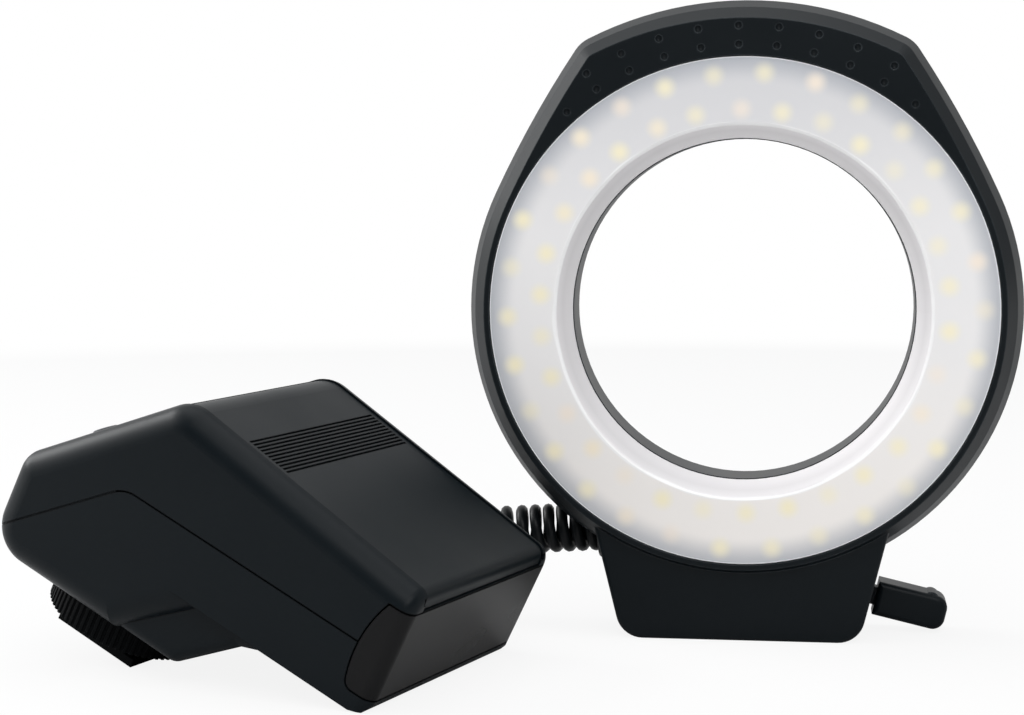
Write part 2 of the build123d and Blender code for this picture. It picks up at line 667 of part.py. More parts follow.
def upper_block(inset):
    """The wedge-topped main block, drawn in by a margin; only its underside keeps crisp edges."""
    points = [(TAIL_A, TAIL_TOP_H), (HUMP_A, HUMP_H), (NOSE_A, NOSE_TOP_H), (NOSE_A, CHIN[1] + CHIN_RISE),
              CHIN, (CHIN_FROM_A, NOSE_BOTTOM_H), (CREASE_FOOT_A, NOSE_BOTTOM_H), (TAIL_A, TAIL_LAP[0])]
    sketch = polygon(*points)
    if inset:
        sketch = offset(sketch, amount=-inset, kind=Kind.INTERSECTION)
    sketch = fillet([near(sketch.vertices(), *points[1])], radius=HUMP_ROUND - inset)
    sketch = fillet([near(sketch.vertices(), *points[0])], radius=max(TAIL_ROUND - inset, 0.6))
    half_w = BOX_HALF_W - inset
    solid = across(sketch, half_w)
    rims = solid.edges().filter_by(lambda e: abs(abs(e.center().Y) - half_w) < 0.01)
    floor_h, tail_a, nose_a = NOSE_BOTTOM_H + inset + 2, TAIL_A + inset + 0.01, NOSE_A - inset - 0.01
    rims = rims.filter_by(lambda e: e.center().X < NOSE_A - 12)
    rims = rims.filter_by(lambda e: e.center().Z > floor_h or e.center().X < tail_a)
    solid = fillet(rims, radius=EDGE_ROUND - inset)
    if NOSE_ROUND - inset < 1:
        return solid
    nose = solid.edges().filter_by(lambda e: e.center().X > nose_a and e.center().Z > floor_h + CHIN_RISE)
    return fillet(nose, radius=NOSE_ROUND - inset)


def lower_block(inset):
    """The deep tail under the main block; its lower edges are well rounded."""
    top = NOSE_BOTTOM_H + LAP
    points = [(TAIL_A, TAIL_LAP[1]), (TAIL_A, PEDESTAL_H), (CREASE_FOOT_A, PEDESTAL_H),
              (CREASE_TOP_A, NOSE_BOTTOM_H), (CREASE_TOP_A + LAP, top)]
    sketch = polygon(*points)
    if inset:
        sketch = offset(sketch, amount=-inset, kind=Kind.INTERSECTION)
    sketch = fillet([near(sketch.vertices(), *points[1])], radius=TAIL_FOOT_ROUND - inset)
    half_w = BOX_HALF_W - inset
    solid = across(sketch, half_w)
    rims = solid.edges().filter_by(lambda e: abs(abs(e.center().Y) - half_w) < 0.01)
    rims = rims.filter_by(lambda e: e.center().Z < TAIL_LAP[1] or e.center().X > CREASE_FOOT_A)
    return fillet(rims, radius=EDGE_ROUND - inset)


def pedestal_wedge(inset):
    back_a, top = CREASE_FOOT_A - 8, NOSE_BOTTOM_H + 5
    points = [(back_a, PEDESTAL_H), (PEDESTAL_FRONT_A, PEDESTAL_H), WEDGE_KNEE, (WEDGE_TOP_A, NOSE_BOTTOM_H),
              (WEDGE_TOP_A, top), (back_a, top)]
    sketch = polygon(*points)
    if inset:
        sketch = offset(sketch, amount=-inset, kind=Kind.INTERSECTION)
    half_w = PEDESTAL_HALF_W - inset
    sketch = fillet([near(sketch.vertices(), *points[1])], radius=max(3.5 - inset, 0.6))
    solid = across(sketch, half_w)
    rims = solid.edges().filter_by(lambda e: abs(abs(e.center().Y) - half_w) < 0.01)
    rims = rims.filter_by(lambda e: e.center().Z < NOSE_BOTTOM_H)
    return fillet(rims, radius=max(3.0 - inset, 0.4))


def box_shape(inset):
    return upper_block(inset) + lower_block(inset) + pedestal_wedge(inset)


def parting_zone(drop):
    """Everything under the parting line, lowered by a gap."""
    slope = (PARTING_KNEE[1] - PARTING_TAIL[1]) / (PARTING_KNEE[0] - PARTING_TAIL[0])
    far_a = TAIL_A - 20
    points = [(far_a, PARTING_KNEE[1] + slope * (far_a - PARTING_KNEE[0])), PARTING_KNEE,
              (NOSE_A + 20, PARTING_KNEE[1]), (NOSE_A + 20, -20), (far_a, -20)]
    sketch = polygon(*points)
    sketch = fillet([near(sketch.vertices(), *PARTING_KNEE)], radius=PARTING_ROUND)
    if drop:
        sketch = offset(sketch, amount=-drop, kind=Kind.INTERSECTION)
    return across(sketch, BOX_HALF_W + 5)


def window_zone(gap):
    """The bulged end of the box that the front window covers, seen from the side."""
    out_a = NOSE_A + 8
    top, bottom = WINDOW_TOP_H, NOSE_BOTTOM_H + WINDOW_BOTTOM_RISE
    top_a, bottom_a = NOSE_A - WINDOW_TOP_BACK, NOSE_A - WINDOW_BOTTOM_BACK
    edges = [
        ThreePointArc((top_a, top), (NOSE_A - WINDOW_BULGE_BACK, (top + bottom) / 2), (bottom_a, bottom)),
        Line((bottom_a, bottom), (out_a, bottom)),
        Line((out_a, bottom), (out_a, top)),
        Line((out_a, top), (top_a, top)),
    ]
    sketch = make_face(edges)
    sketch = fillet([near(sketch.vertices(), bottom_a, bottom)], radius=WINDOW_CORNER_R)
    if gap:
        sketch = offset(sketch, amount=-gap, kind=Kind.INTERSECTION)
    return across(sketch, BOX_HALF_W + 5)


def slope_point(a, depth):
    """A point under the rear slope, at a given A along it and a depth square to it."""
    rise, run = HUMP_H - TAIL_TOP_H, HUMP_A - TAIL_A
    length = hypot(rise, run)
    h = TAIL_TOP_H + rise / run * (a - TAIL_A)
    return (a + depth * rise / length, h - depth * run / length)


def cover_zone(gap):
    """Where the battery cover lies, from the side: over the hump, along the top, down the front lip."""
    skin = COVER_RECESS + COVER_T
    lip_h = WINDOW_TOP_H + COVER_LIP_GAP - gap
    tail_out = slope_point(COVER_REAR_A - gap, -6)
    tail_in = slope_point(COVER_REAR_A - gap, skin + 1.2)
    hump_in = (HUMP_A + 5, top_h(HUMP_A + 5) - skin - 3)
    points = [tail_out, tail_in, hump_in, (NOSE_A - 6, lip_h), (NOSE_A + 6, lip_h),
              (NOSE_A + 6, HUMP_H + 8)]
    return across(polygon(*points), COVER_HALF_W + gap)


def top_strip(from_a, to_a, depth_from, depth_to, low_w, high_w):
    """A bar along the sloping top, between two depths below it."""
    sketch = polygon((from_a, top_h(from_a) - depth_from), (to_a, top_h(to_a) - depth_from),
                     (to_a, top_h(to_a) - depth_to), (from_a, top_h(from_a) - depth_to))
    return profile(sketch, low_w, high_w)


def side_strip(side, from_a, to_a, depth_from, depth_to, inner_w, outer_w):
    low, high = sorted((side * inner_w, side * outer_w))
    return top_strip(from_a, to_a, depth_from, depth_to, low, high)


def battery_cover():
    skin = upper_block(COVER_RECESS) - upper_block(COVER_RECESS + COVER_T)
    cover = skin & cover_zone(0)
    depth = COVER_RECESS + COVER_T
    for side in (1, -1):
        cover += side_strip(side, TONGUE_FROM_A, NOSE_A - 6, depth - TONGUE_T, depth,
                            COVER_HALF_W - 1, COVER_HALF_W + TONGUE_W)
    width, deep = RIB_GROOVE
    for i in range(RIB_COUNT):
        a = RIB_FROM_A + i * RIB_PITCH
        cover -= top_strip(a, a + width, -1, COVER_RECESS + deep, -RIB_HALF_W, RIB_HALF_W)
    return cover


def panel_frame():
    """X towards the viewer's side, Y up the rear slope, Z out of it; the origin is on the surface."""
    middle_a = (TAIL_A + COVER_REAR_A) / 2 + 0.4
    a, h = slope_point(middle_a, 0)
    rise, run = HUMP_H - TAIL_TOP_H, HUMP_A - TAIL_A
    length = hypot(rise, run)
    return Plane(origin=(a, 0, h), x_dir=(0, -1, 0), z_dir=(-rise / length, 0, run / length))


PANEL = panel_frame()
PANEL_W, PANEL_H = PANEL_SIZE
BUTTON_ROW_Y = BUTTON_EDGE_MARGIN - PANEL_H / 2
SCREEN_W = PANEL_W - SCREEN_LEFT_MARGIN - SCREEN_RIGHT_MARGIN
SCREEN_AT = ((SCREEN_LEFT_MARGIN - SCREEN_RIGHT_MARGIN) / 2, (PANEL_H - SCREEN_H) / 2 - SCREEN_TOP_MARGIN)
LAMP_AT = (PANEL_W / 2 - LAMP_MARGIN, SCREEN_AT[1])


def on_panel(sketch, low, high):
    return extrude(PANEL.offset(low) * sketch, amount=high - low)


def box_screw(a, w, low_h, high_h):
    head_top = low_h + BOX_SCREW_HEAD_T
    shank = h_cylinder(a, w, BOX_SCREW_R, head_top, high_h)
    head = h_cylinder(a, w, BOX_SCREW_HEAD_R, low_h, head_top)
    return shank + head - extrude(Pos(a, w, low_h) * cross_slot(), amount=CROSS_SLOT[1])


def screw_spots():
    """Each screw of the box: its place, the face it enters, the boss it ends in."""
    tail_a, tail_w = TAIL_SCREW_AT
    nose_a, nose_w = NOSE_SCREW_AT
    slope = (PARTING_KNEE[1] - PARTING_TAIL[1]) / (PARTING_KNEE[0] - PARTING_TAIL[0])
    tail_part = PARTING_KNEE[1] + slope * (tail_a - PARTING_KNEE[0])
    return ([(tail_a, side * tail_w, PEDESTAL_H, tail_part) for side in (1, -1)],
            [(nose_a, side * nose_w, NOSE_BOTTOM_H, TRAY_FLOOR_H - TRAY_WALL) for side in (1, -1)])


def lower_shell():
    window = window_zone(0)
    shell = (box_shape(0) - box_shape(BOX_WALL)) & parting_zone(SEAM)
    shell -= window
    tail_screws, nose_screws = screw_spots()
    floor = PEDESTAL_H + BOX_WALL
    for a, w, face_h, part_h in tail_screws:
        shell += h_cylinder(a, w, BOSS_R, face_h + 1, part_h + BOSS_R) & parting_zone(SEAM)
    for a, w, face_h, seat_h in nose_screws:
        shell += h_cylinder(a, w, BOSS_R, face_h + 1, seat_h)
    post_a, post_w = TRAY_POST_AT
    for side in (1, -1):
        shell += h_cylinder(post_a, side * post_w, BOSS_R, floor - 1, TRAY_FLOOR_H - TRAY_WALL)
    for a, w, face_h, _ in tail_screws + nose_screws:
        seat_h = face_h + BOX_SCREW_HEAD_T + BOX_SCREW_SINK
        shell -= h_cylinder(a, w, BOX_SCREW_HEAD_R + FIT, face_h - 1, seat_h)
        shell -= h_cylinder(a, w, BOX_SCREW_R + RUNNING, face_h, TRAY_FLOOR_H)
    shell -= h_cylinder(FOOT_A, FOOT_W, STEM_R + FIT, PEDESTAL_H - 1, floor + 1)
    for a, w in foot_screw_spots():
        shell -= h_cylinder(a, w, BOX_SCREW_R + RUNNING, PEDESTAL_H - 1, floor + 1)
    shell -= gland_hole(BOX_PORT)
    return shell


def upper_shell():
    shell = box_shape(0) - box_shape(BOX_WALL) - parting_zone(0)
    shell -= window_zone(0)
    shell -= cover_zone(COVER_GAP)
    cover_floor = COVER_RECESS + COVER_T + FIT
    groove_out = COVER_HALF_W + TONGUE_W + FIT
    for side in (1, -1):
        shell += side_strip(side, RAIL_FROM_A, NOSE_A - 7, cover_floor, cover_floor + RAIL_T,
                            COVER_HALF_W - RAIL_T - 0.1, BOX_HALF_W - BOX_WALL + 0.4)
        groove_top = cover_floor - 2 * FIT - TONGUE_T
        shell -= side_strip(side, TONGUE_FROM_A - FIT, NOSE_A + 5, groove_top, cover_floor,
                            COVER_HALF_W, groove_out)
    opening = Rectangle(PANEL_W - 2 * PANEL_LEDGE, PANEL_H - 2 * PANEL_LEDGE)
    recess = RectangleRounded(PANEL_W + 2 * FIT, PANEL_H + 2 * FIT, PANEL_ROUND)
    shell -= on_panel(recess, -PANEL_T, 2)
    shell -= on_panel(opening, -BOX_WALL - 2, 2)
    tail_screws, _ = screw_spots()
    for a, w, _, part_h in tail_screws:
        boss = h_cylinder(a, w, BOSS_R, part_h - BOSS_R, TAIL_BOSS_TOP_H)
        boss += block((TAIL_A + 1, w - BOSS_R, part_h - 2 * BOSS_R), (a, w + BOSS_R, TAIL_BOSS_TOP_H))
        shell += boss - parting_zone(0)
        shell -= h_cylinder(a, w, BOX_SCREW_R + RUNNING, part_h - BOSS_R, TAIL_BOSS_TOP_H - 1)
    shell -= gland_hole(BOX_PORT)
    w, h = SWITCH_AT
    half_w, half_h = SWITCH_KNOB[0] / 2 + FIT, SWITCH_KNOB[1] / 2 + FIT
    return shell - block((TAIL_A - 1, w - half_w, h - half_h),
                         (TAIL_A + BOX_WALL + 1, w + half_w + SWITCH_TRAVEL, h + half_h))


def front_window():
    skin = box_shape(0) - box_shape(WINDOW_T)
    return skin & window_zone(SEAM)


def control_panel():
    plate = on_panel(RectangleRounded(PANEL_W, PANEL_H, PANEL_ROUND), -PANEL_T, 0)
    for x in button_places():
        plate -= on_panel(Pos(x, BUTTON_ROW_Y) * Circle(BUTTON_R + FIT), -3, 2)
    plate -= on_panel(Pos(*SCREEN_AT) * Rectangle(SCREEN_W + 2 * RUNNING, SCREEN_H + 2 * RUNNING), -3, 2)
    plate -= on_panel(Pos(*LAMP_AT) * Circle(LAMP_R + RUNNING), -3, 2)
    return plate


def button_places():
    reach = PANEL_W / 2 - BUTTON_END_MARGIN
    return [reach * (2 * i / (BUTTON_COUNT - 1) - 1) for i in range(BUTTON_COUNT)]


def button(x):
    spot = Pos(x, BUTTON_ROW_Y)
    cap = on_panel(spot * Circle(BUTTON_R), -PANEL_T - 0.2, BUTTON_PROUD)
    rim = cap.edges().group_by(lambda e: round(PANEL.to_local_coords(e.center()).Z, 2))[-1]
    cap = fillet(rim, radius=0.5)
    flange_top = -PANEL_T - 0.15
    return cap + on_panel(spot * Circle(BUTTON_FLANGE_R), flange_top - BUTTON_FLANGE_T, flange_top)


FLANGE_BOTTOM = -PANEL_T - 0.15 - BUTTON_FLANGE_T
DOME_TOP = FLANGE_BOTTOM - BUTTON_TRAVEL - 0.12
KEY_BOARD_TOP = DOME_TOP - DOME_T


def switch_domes():
    for x in button_places():
        yield on_panel(Pos(x, BUTTON_ROW_Y) * Circle(DOME_R), KEY_BOARD_TOP, DOME_TOP)


def key_board():
    """The board under the buttons, on two posts above their row at each end."""
    board = on_panel(Rectangle(PANEL_W - 2 * KEY_BOARD_MARGIN, PANEL_H - 2 * KEY_BOARD_MARGIN),
                     KEY_BOARD_TOP - KEY_BOARD_T, KEY_BOARD_TOP)
    post_x = PANEL_W / 2 - KEY_BOARD_MARGIN - KEY_POST_EDGE
    high_y = PANEL_H / 2 - KEY_BOARD_MARGIN - KEY_POST_EDGE
    low_y = BUTTON_ROW_Y + BUTTON_FLANGE_R + KEY_POST_R + FIT
    for x in (-post_x, post_x):
        for y in (low_y, high_y):
            board += on_panel(Pos(x, y) * Circle(KEY_POST_R), KEY_BOARD_TOP, -PANEL_T)
    return board


def display_window():
    return on_panel(Pos(*SCREEN_AT) * RectangleRounded(SCREEN_W, SCREEN_H, 0.6), -PANEL_T, 0)


def display_module():
    return on_panel(Pos(*SCREEN_AT) * Rectangle(SCREEN_W + 1.6, SCREEN_H - 1), KEY_BOARD_TOP, -PANEL_T)


def pilot_lamp():
    return on_panel(Pos(*LAMP_AT) * Circle(LAMP_R), KEY_BOARD_TOP, 0.3)


def power_switch():
    w, h = SWITCH_AT
    knob_w, knob_h = SWITCH_KNOB
    knob = block((TAIL_A - SWITCH_PROUD, w - knob_w / 2, h - knob_h / 2),
                 (TAIL_A + BOX_WALL + 2 * FIT, w + knob_w / 2, h + knob_h / 2))
    for i in range(SWITCH_GROOVES):
        groove_w = w + (i - (SWITCH_GROOVES - 1) / 2) * 1.2
        knob -= block((TAIL_A - SWITCH_PROUD - 1, groove_w - 0.25, h - knob_h),
                      (TAIL_A - SWITCH_PROUD + 0.4, groove_w + 0.25, h + knob_h))
    plate_a = TAIL_A + BOX_WALL + FIT
    plate_half_w = knob_w / 2 + SWITCH_TRAVEL + SWITCH_PLATE_EDGE
    plate_half_h = knob_h / 2 + SWITCH_PLATE_EDGE
    return knob + block((plate_a, w - plate_half_w, h - plate_half_h),
                        (plate_a + 1, w + plate_half_w, h + plate_half_h))


# Control box: power and boards

TRAY_LENGTH = CELL_LENGTH + BATTERY_SPRING_LENGTH + 2 * CONTACT_T + 0.2
TRAY_FRONT_A = TRAY_REAR_A + TRAY_LENGTH
CELL_H = TRAY_FLOOR_H + CELL_R + 0.05


def cell_places():
    """Each cell's width and the way its positive end points, turn about."""
    return [((i - (CELL_COUNT - 1) / 2) * CELL_PITCH, 1 if i % 2 else -1) for i in range(CELL_COUNT)]


def a_cylinder(w, h, radius, low_a, high_a):
    return Pos((low_a + high_a) / 2, w, h) * Rot(0, 90, 0) * Cylinder(radius, high_a - low_a)


def battery_cells():
    nub_r, nub_t = CELL_NUB
    for w, way in cell_places():
        middle = (TRAY_REAR_A + TRAY_FRONT_A) / 2 + way * BATTERY_SPRING_LENGTH / 2
        tip, foot = middle + way * CELL_LENGTH / 2, middle - way * CELL_LENGTH / 2
        neck = tip - way * nub_t
        can = a_cylinder(w, CELL_H, CELL_R, min(foot, neck), max(foot, neck))
        yield can + a_cylinder(w, CELL_H, nub_r, min(neck, tip), max(neck, tip))


def battery_contacts():
    for w, _ in cell_places():
        for wall_a, way in ((TRAY_REAR_A, 1), (TRAY_FRONT_A, -1)):
            low, high = sorted((wall_a, wall_a + way * CONTACT_T))
            yield block((low, w - 5.5, CELL_H - 5.5), (high, w + 5.5, CELL_H + 4.5))


def battery_springs():
    for w, way in cell_places():
        if way > 0:
            low_a = TRAY_REAR_A + CONTACT_T
        else:
            low_a = TRAY_FRONT_A - CONTACT_T - BATTERY_SPRING_LENGTH
        margin = BATTERY_SPRING_WIRE_R + 0.05
        low = Vector(low_a + margin, w, CELL_H)
        high = Vector(low_a + BATTERY_SPRING_LENGTH - margin, w, CELL_H)
        yield plain_spring(low, high, BATTERY_SPRING_R, BATTERY_SPRING_WIRE_R, 4, Vector(0, 0, 1))


def battery_tray():
    half_w = CELL_COUNT * CELL_PITCH / 2 + 0.3
    low_h = TRAY_FLOOR_H - TRAY_WALL
    tray = block((TRAY_REAR_A - TRAY_WALL, -half_w - TRAY_WALL, low_h),
                 (TRAY_FRONT_A + TRAY_WALL, half_w + TRAY_WALL, TRAY_WALL_TOP_H))
    tray -= block((TRAY_REAR_A, -half_w, TRAY_FLOOR_H), (TRAY_FRONT_A, half_w, TRAY_WALL_TOP_H + 1))
    _, nose_screws = screw_spots()
    for a, w, _, _ in nose_screws:
        tray -= h_cylinder(a, w, BOX_SCREW_R + RUNNING, low_h - 1, low_h + NOSE_SCREW_BITE + 0.2)
    return tray


def main_board():
    """The board hangs under the tray on four short feet, with its two chips on the lower side."""
    length, width, thick = MAIN_BOARD_SIZE
    tray_h = TRAY_FLOOR_H - TRAY_WALL
    low = tray_h - MAIN_BOARD_GAP - thick
    board = block((MAIN_BOARD_A - length / 2, -width / 2, low),
                  (MAIN_BOARD_A + length / 2, width / 2, low + thick))
    chips = [block((MAIN_BOARD_A + a, w, low - 1.4), (MAIN_BOARD_A + a + 8, w + 8, low))
             for a, w in ((-15, -6), (3, -2))]
    foot_a, foot_w = length / 2 - 4, width / 2 - 3
    feet = [h_cylinder(MAIN_BOARD_A + end * foot_a, side * foot_w, 1.6, low + thick, tray_h)
            for end in (1, -1) for side in (1, -1)]
    for piece in chips + feet:
        board += piece
    return board


# Control box: accessory shoe

def foot_screw_spots():
    reach = FLANGE_R - BOX_SCREW_R - 0.6
    return [(FOOT_A + reach * cos(radians(turn)), FOOT_W + reach * sin(radians(turn)))
            for turn in (45, 135, 225, 315)]


def shoe_foot():
    plate = block((FOOT_A - SHOE_LENGTH / 2, FOOT_W - SHOE_WIDTH / 2, 0),
                  (FOOT_A + SHOE_LENGTH / 2, FOOT_W + SHOE_WIDTH / 2, SHOE_T))
    neck = block((FOOT_A - SHOE_LENGTH / 2 + 1, FOOT_W - NECK_WIDTH / 2, SHOE_T),
                 (FOOT_A + SHOE_LENGTH / 2 - 1, FOOT_W + NECK_WIDTH / 2, NECK_TOP_H))
    floor = PEDESTAL_H + BOX_WALL
    stem = h_cylinder(FOOT_A, FOOT_W, STEM_R, NECK_TOP_H, floor)
    flange = h_cylinder(FOOT_A, FOOT_W, FLANGE_R, floor, floor + FLANGE_T)
    foot = plate + neck + stem + flange
    for a, w in foot_screw_spots():
        foot -= h_cylinder(a, w, BOX_SCREW_R + RUNNING, floor - 1, floor + FLANGE_T + 1)
    foot -= h_cylinder(FOOT_A, FOOT_W, PIN_R + RUNNING, -1, PIN_TOP_H)
    return foot - h_cylinder(FOOT_A, FOOT_W, PIN_COLLAR_R + FIT, SHOE_T, PIN_TOP_H)


PIN_COLLAR_H = SHOE_T + 1.0
PIN_TOP_H = PIN_COLLAR_H + 7.0


def contact_pin():
    shank = h_cylinder(FOOT_A, FOOT_W, PIN_R, -PIN_PROUD, PIN_COLLAR_H)
    return shank + h_cylinder(FOOT_A, FOOT_W, PIN_COLLAR_R, SHOE_T + 0.1, PIN_COLLAR_H)


def contact_spring():
    low = Vector(FOOT_A, FOOT_W, PIN_COLLAR_H + PIN_PROUD + 0.45)
    high = Vector(FOOT_A, FOOT_W, PIN_TOP_H - 0.3)
    return plain_spring(low, high, 1.5, 0.2, 5, Vector(1, 0, 0))


def lock_washer():
    disc = h_cylinder(FOOT_A, FOOT_W, SHOE_WIDTH / 2 + 1.2, WASHER_H, WASHER_H + WASHER_T)
    return disc - h_cylinder(FOOT_A, FOOT_W, STEM_R + RUNNING, WASHER_H - 1, WASHER_H + WASHER_T + 1)


def lock_wheel():
    low = WASHER_H + WASHER_T + 0.05
    rim = Circle(WHEEL_R)
    for i in range(WHEEL_KNURLS):
        rim -= Rot(0, 0, i * 360 / WHEEL_KNURLS) * Pos(WHEEL_R, 0) * Circle(WHEEL_KNURL_R)
    wheel = extrude(Pos(FOOT_A, FOOT_W, low) * rim, amount=WHEEL_T)
    return wheel - h_cylinder(FOOT_A, FOOT_W, STEM_R + RUNNING, low - 1, low + WHEEL_T + 1)


def foot_screws():
    floor = PEDESTAL_H + BOX_WALL
    for a, w in foot_screw_spots():
        shank = h_cylinder(a, w, BOX_SCREW_R, PEDESTAL_H + 0.3, floor + FLANGE_T)
        yield shank + h_cylinder(a, w, BOX_SCREW_R + 0.7, floor + FLANGE_T, floor + FLANGE_T + 1.2)


def shell_screws():
    tail_screws, nose_screws = screw_spots()
    for a, w, face_h, part_h in tail_screws:
        yield box_screw(a, w, face_h + BOX_SCREW_SINK, part_h + TAIL_SCREW_BITE)
    for a, w, face_h, seat_h in nose_screws:
        yield box_screw(a, w, face_h + BOX_SCREW_SINK, seat_h + NOSE_SCREW_BITE)


# Cord: glands at both ends and the curls between them

def gland_cup():
    """A cup with its mouth towards +Z, standing a little proud of the wall at the origin."""
    floor_low = FLOOR_AT - CORD_GLAND_FLOOR
    cup = Pos(0, 0, (GLAND_PROUD + floor_low) / 2) * Cylinder(CORD_GLAND_R, GLAND_PROUD - floor_low)
    cup = chamfer(cup.edges().group_by(Axis.Z)[-1], length=0.3)
    return cup - Pos(0, 0, FLOOR_AT + CORD_SOCKET_DEPTH) * Cylinder(CORD_SOCKET_R, 2 * CORD_SOCKET_DEPTH)


def cord_route():
    """Straight runs between the chosen points, each corner rounded as far as its runs allow."""
    start = (HEAD_PORT * Pos(0, 0, FLOOR_AT)).position
    end = (BOX * BOX_PORT * Pos(0, 0, FLOOR_AT)).position
    ahead = (BOX * BOX_PORT * Pos(0, 0, CORD_LAST_RUN)).position
    points = [start] + [Vector(*p) for p in CORD_POINTS] + [ahead, end]
    radii = []
    for before, here, after in zip(points, points[1:], points[2:]):
        turn = (here - before).get_angle(after - here)
        shorter = min((here - before).length, (after - here).length)
        radii.append(0.45 * shorter / tan(radians(turn / 2)))
    print("cord bend radii, mm:", [round(r, 1) for r in radii])
    return FilletPolyline(*points, radius=radii)


def curly_cord():
    route = cord_route().wire()
    lead = 2 * WIRE_R + LEAD_BEND_R

    def pitch_at(at):
        bent = min(1, max(0, (at - STRAIGHT_RUN) / CURL_R))
        return CURL_PITCH + (CURL_PITCH_BENT - CURL_PITCH) * bent

    stations = curl_stations(route, CURL_R, pitch_at, lead, Vector(0, 0, 1))
    first, last = stations[0], stations[-1]
    edges = lead_in(*first) + wound_path(stations) + lead_out(*last, route)
    tube, path = tube_along(edges, WIRE_R)
    report_coil(route, path, len(stations) / 4)
    return tube


def lead_in(point, heading, along):
    """The wire's straight start, square to its gland, and the arc that brings it into the first curl."""
    turn = radians(along.get_angle(heading))
    across_dir = (heading - along * heading.dot(along)).normalized()
    bend_start = point - along * (LEAD_BEND_R * sin(turn)) - across_dir * (LEAD_BEND_R * (1 - cos(turn)))
    wire_start = bend_start - along * (2 * WIRE_R)
    return [Edge.make_line(wire_start, bend_start), Edge.make_tangent_arc(bend_start, along, point)]


def lead_out(point, heading, along, route):
    """The same at the far end, where the straight piece takes up what is left of the route."""
    end_dir = route.tangent_at(1)
    end_at = route.position_at(1)
    turn = radians(end_dir.get_angle(heading))
    across_dir = (heading - end_dir * heading.dot(end_dir)).normalized()
    bend_end = point + end_dir * (LEAD_BEND_R * sin(turn)) + across_dir * (LEAD_BEND_R * (1 - cos(turn)))
    left = (end_at - bend_end).dot(end_dir)
    bend = Edge.make_tangent_arc(point, heading, bend_end)
    return [bend, Edge.make_line(bend_end, bend_end + end_dir * left)]


def report_coil(route, path, turns):
    """Prints the cord's real sizes and the least gap between one curl and the next."""
    count = int(turns * 24)
    spots = [path.position_at(i / count) for i in range(count + 1)]
    step = path.length / count
    apart = int(pi * CURL_R / step)
    least = min((spots[i] - spots[j]).length for i in range(count + 1)
                for j in range(i + apart, min(i + 6 * apart, count + 1)))
    print("cord: route %.1f mm, wire %.1f mm, %.1f curls, least gap %.2f mm"
          % (route.length, path.length, turns, least - 2 * WIRE_R))


# Assembly: the head stands as drawn, the box's pieces are drawn in its frame and then laid on the table

add("head_front_bezel", front_bezel())
add("head_rear_housing", rear_housing())
add("diffuser_ring", diffuser_ring())
add("board_spacer", board_spacer())
add("led_board", led_board())
add("led_emitters", *led_emitters())
add("head_screws", *head_screws())
add("head_terminal_board", head_terminal_board())
add("release_lever", release_lever())
add("lever_pivot_pin", lever_pivot_pin())
add("latch_slider", latch_slider())
add("latch_spring", latch_spring())
add("head_cord_gland", HEAD_PORT * gland_cup())
add("curly_cord", curly_cord())
head_nodes = set(nodes)

add("upper_shell", upper_shell())
add("lower_shell", lower_shell())
add("battery_cover", battery_cover())
add("front_window", front_window())
add("control_panel", control_panel())
for number, place in enumerate(button_places(), 1):
    add("button_%d" % number, button(place))
add("switch_domes", *switch_domes())
add("key_board", key_board())
add("display_window", display_window())
add("display_module", display_module())
add("pilot_lamp", pilot_lamp())
add("power_switch", power_switch())
add("battery_tray", battery_tray())
add("battery_cells", *battery_cells())
add("battery_contacts", *battery_contacts())
add("battery_springs", *battery_springs())
add("main_board", main_board())
add("shoe_foot", shoe_foot())
add("lock_wheel", lock_wheel())
add("lock_washer", lock_washer())
add("contact_pin", contact_pin())
add("contact_spring", contact_spring())
add("foot_screws", *foot_screws())
add("shell_screws", *shell_screws())
add("box_cord_gland", BOX_PORT * gland_cup())

os.makedirs("parts", exist_ok=True)
for name, shape in nodes.items():
    placed = shape if name in head_nodes else BOX * shape
    export_step(placed, "parts/%s.step" % name)


# Joint axes and places in the part's frame, for the record

def report_spot(label, a, w, h):
    spot = (BOX * Pos(a, w, h)).position
    print("%s: %.3f %.3f %.3f" % (label, *spot))


def report_axis(label, direction):
    turned = (BOX * Pos(*direction)).position - (BOX * Pos(0, 0, 0)).position
    print("%s axis: %.5f %.5f %.5f" % (label, *turned.normalized()))


report_spot("shoe foot underside", FOOT_A, FOOT_W, 0)
report_axis("H", (0, 0, 1))
report_axis("W", (0, 1, 0))
report_axis("A", (1, 0, 0))
report_axis("cover slide", (NOSE_A - HUMP_A, 0, NOSE_TOP_H - HUMP_H))
report_axis("button press", -PANEL.z_dir)
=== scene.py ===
from math import cos, pi, radians, sin

import bmesh
import bpy
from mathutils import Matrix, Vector


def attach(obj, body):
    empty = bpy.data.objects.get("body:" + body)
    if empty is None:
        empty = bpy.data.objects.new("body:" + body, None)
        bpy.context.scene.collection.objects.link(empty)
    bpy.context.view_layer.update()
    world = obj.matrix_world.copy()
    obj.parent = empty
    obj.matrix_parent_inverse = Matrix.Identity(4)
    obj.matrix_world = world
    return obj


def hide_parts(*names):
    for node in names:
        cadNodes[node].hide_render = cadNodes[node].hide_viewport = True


# Macro LED light: finishes, cord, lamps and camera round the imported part. Metres, +Z up, light shines to -Y.

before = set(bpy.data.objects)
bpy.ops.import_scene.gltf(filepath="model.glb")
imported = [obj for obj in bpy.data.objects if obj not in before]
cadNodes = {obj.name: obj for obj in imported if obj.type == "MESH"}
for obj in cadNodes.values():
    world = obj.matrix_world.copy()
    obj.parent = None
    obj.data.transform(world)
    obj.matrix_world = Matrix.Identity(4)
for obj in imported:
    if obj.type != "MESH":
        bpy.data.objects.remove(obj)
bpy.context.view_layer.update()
mm = 0.001
ringAxisZ = 79.4 * mm
chipRows = ((56.3, 7.2), (48.3, 1.2))
chipsPerRow = 30
print("frame loaded:", len(cadNodes), "nodes")


# Node helpers

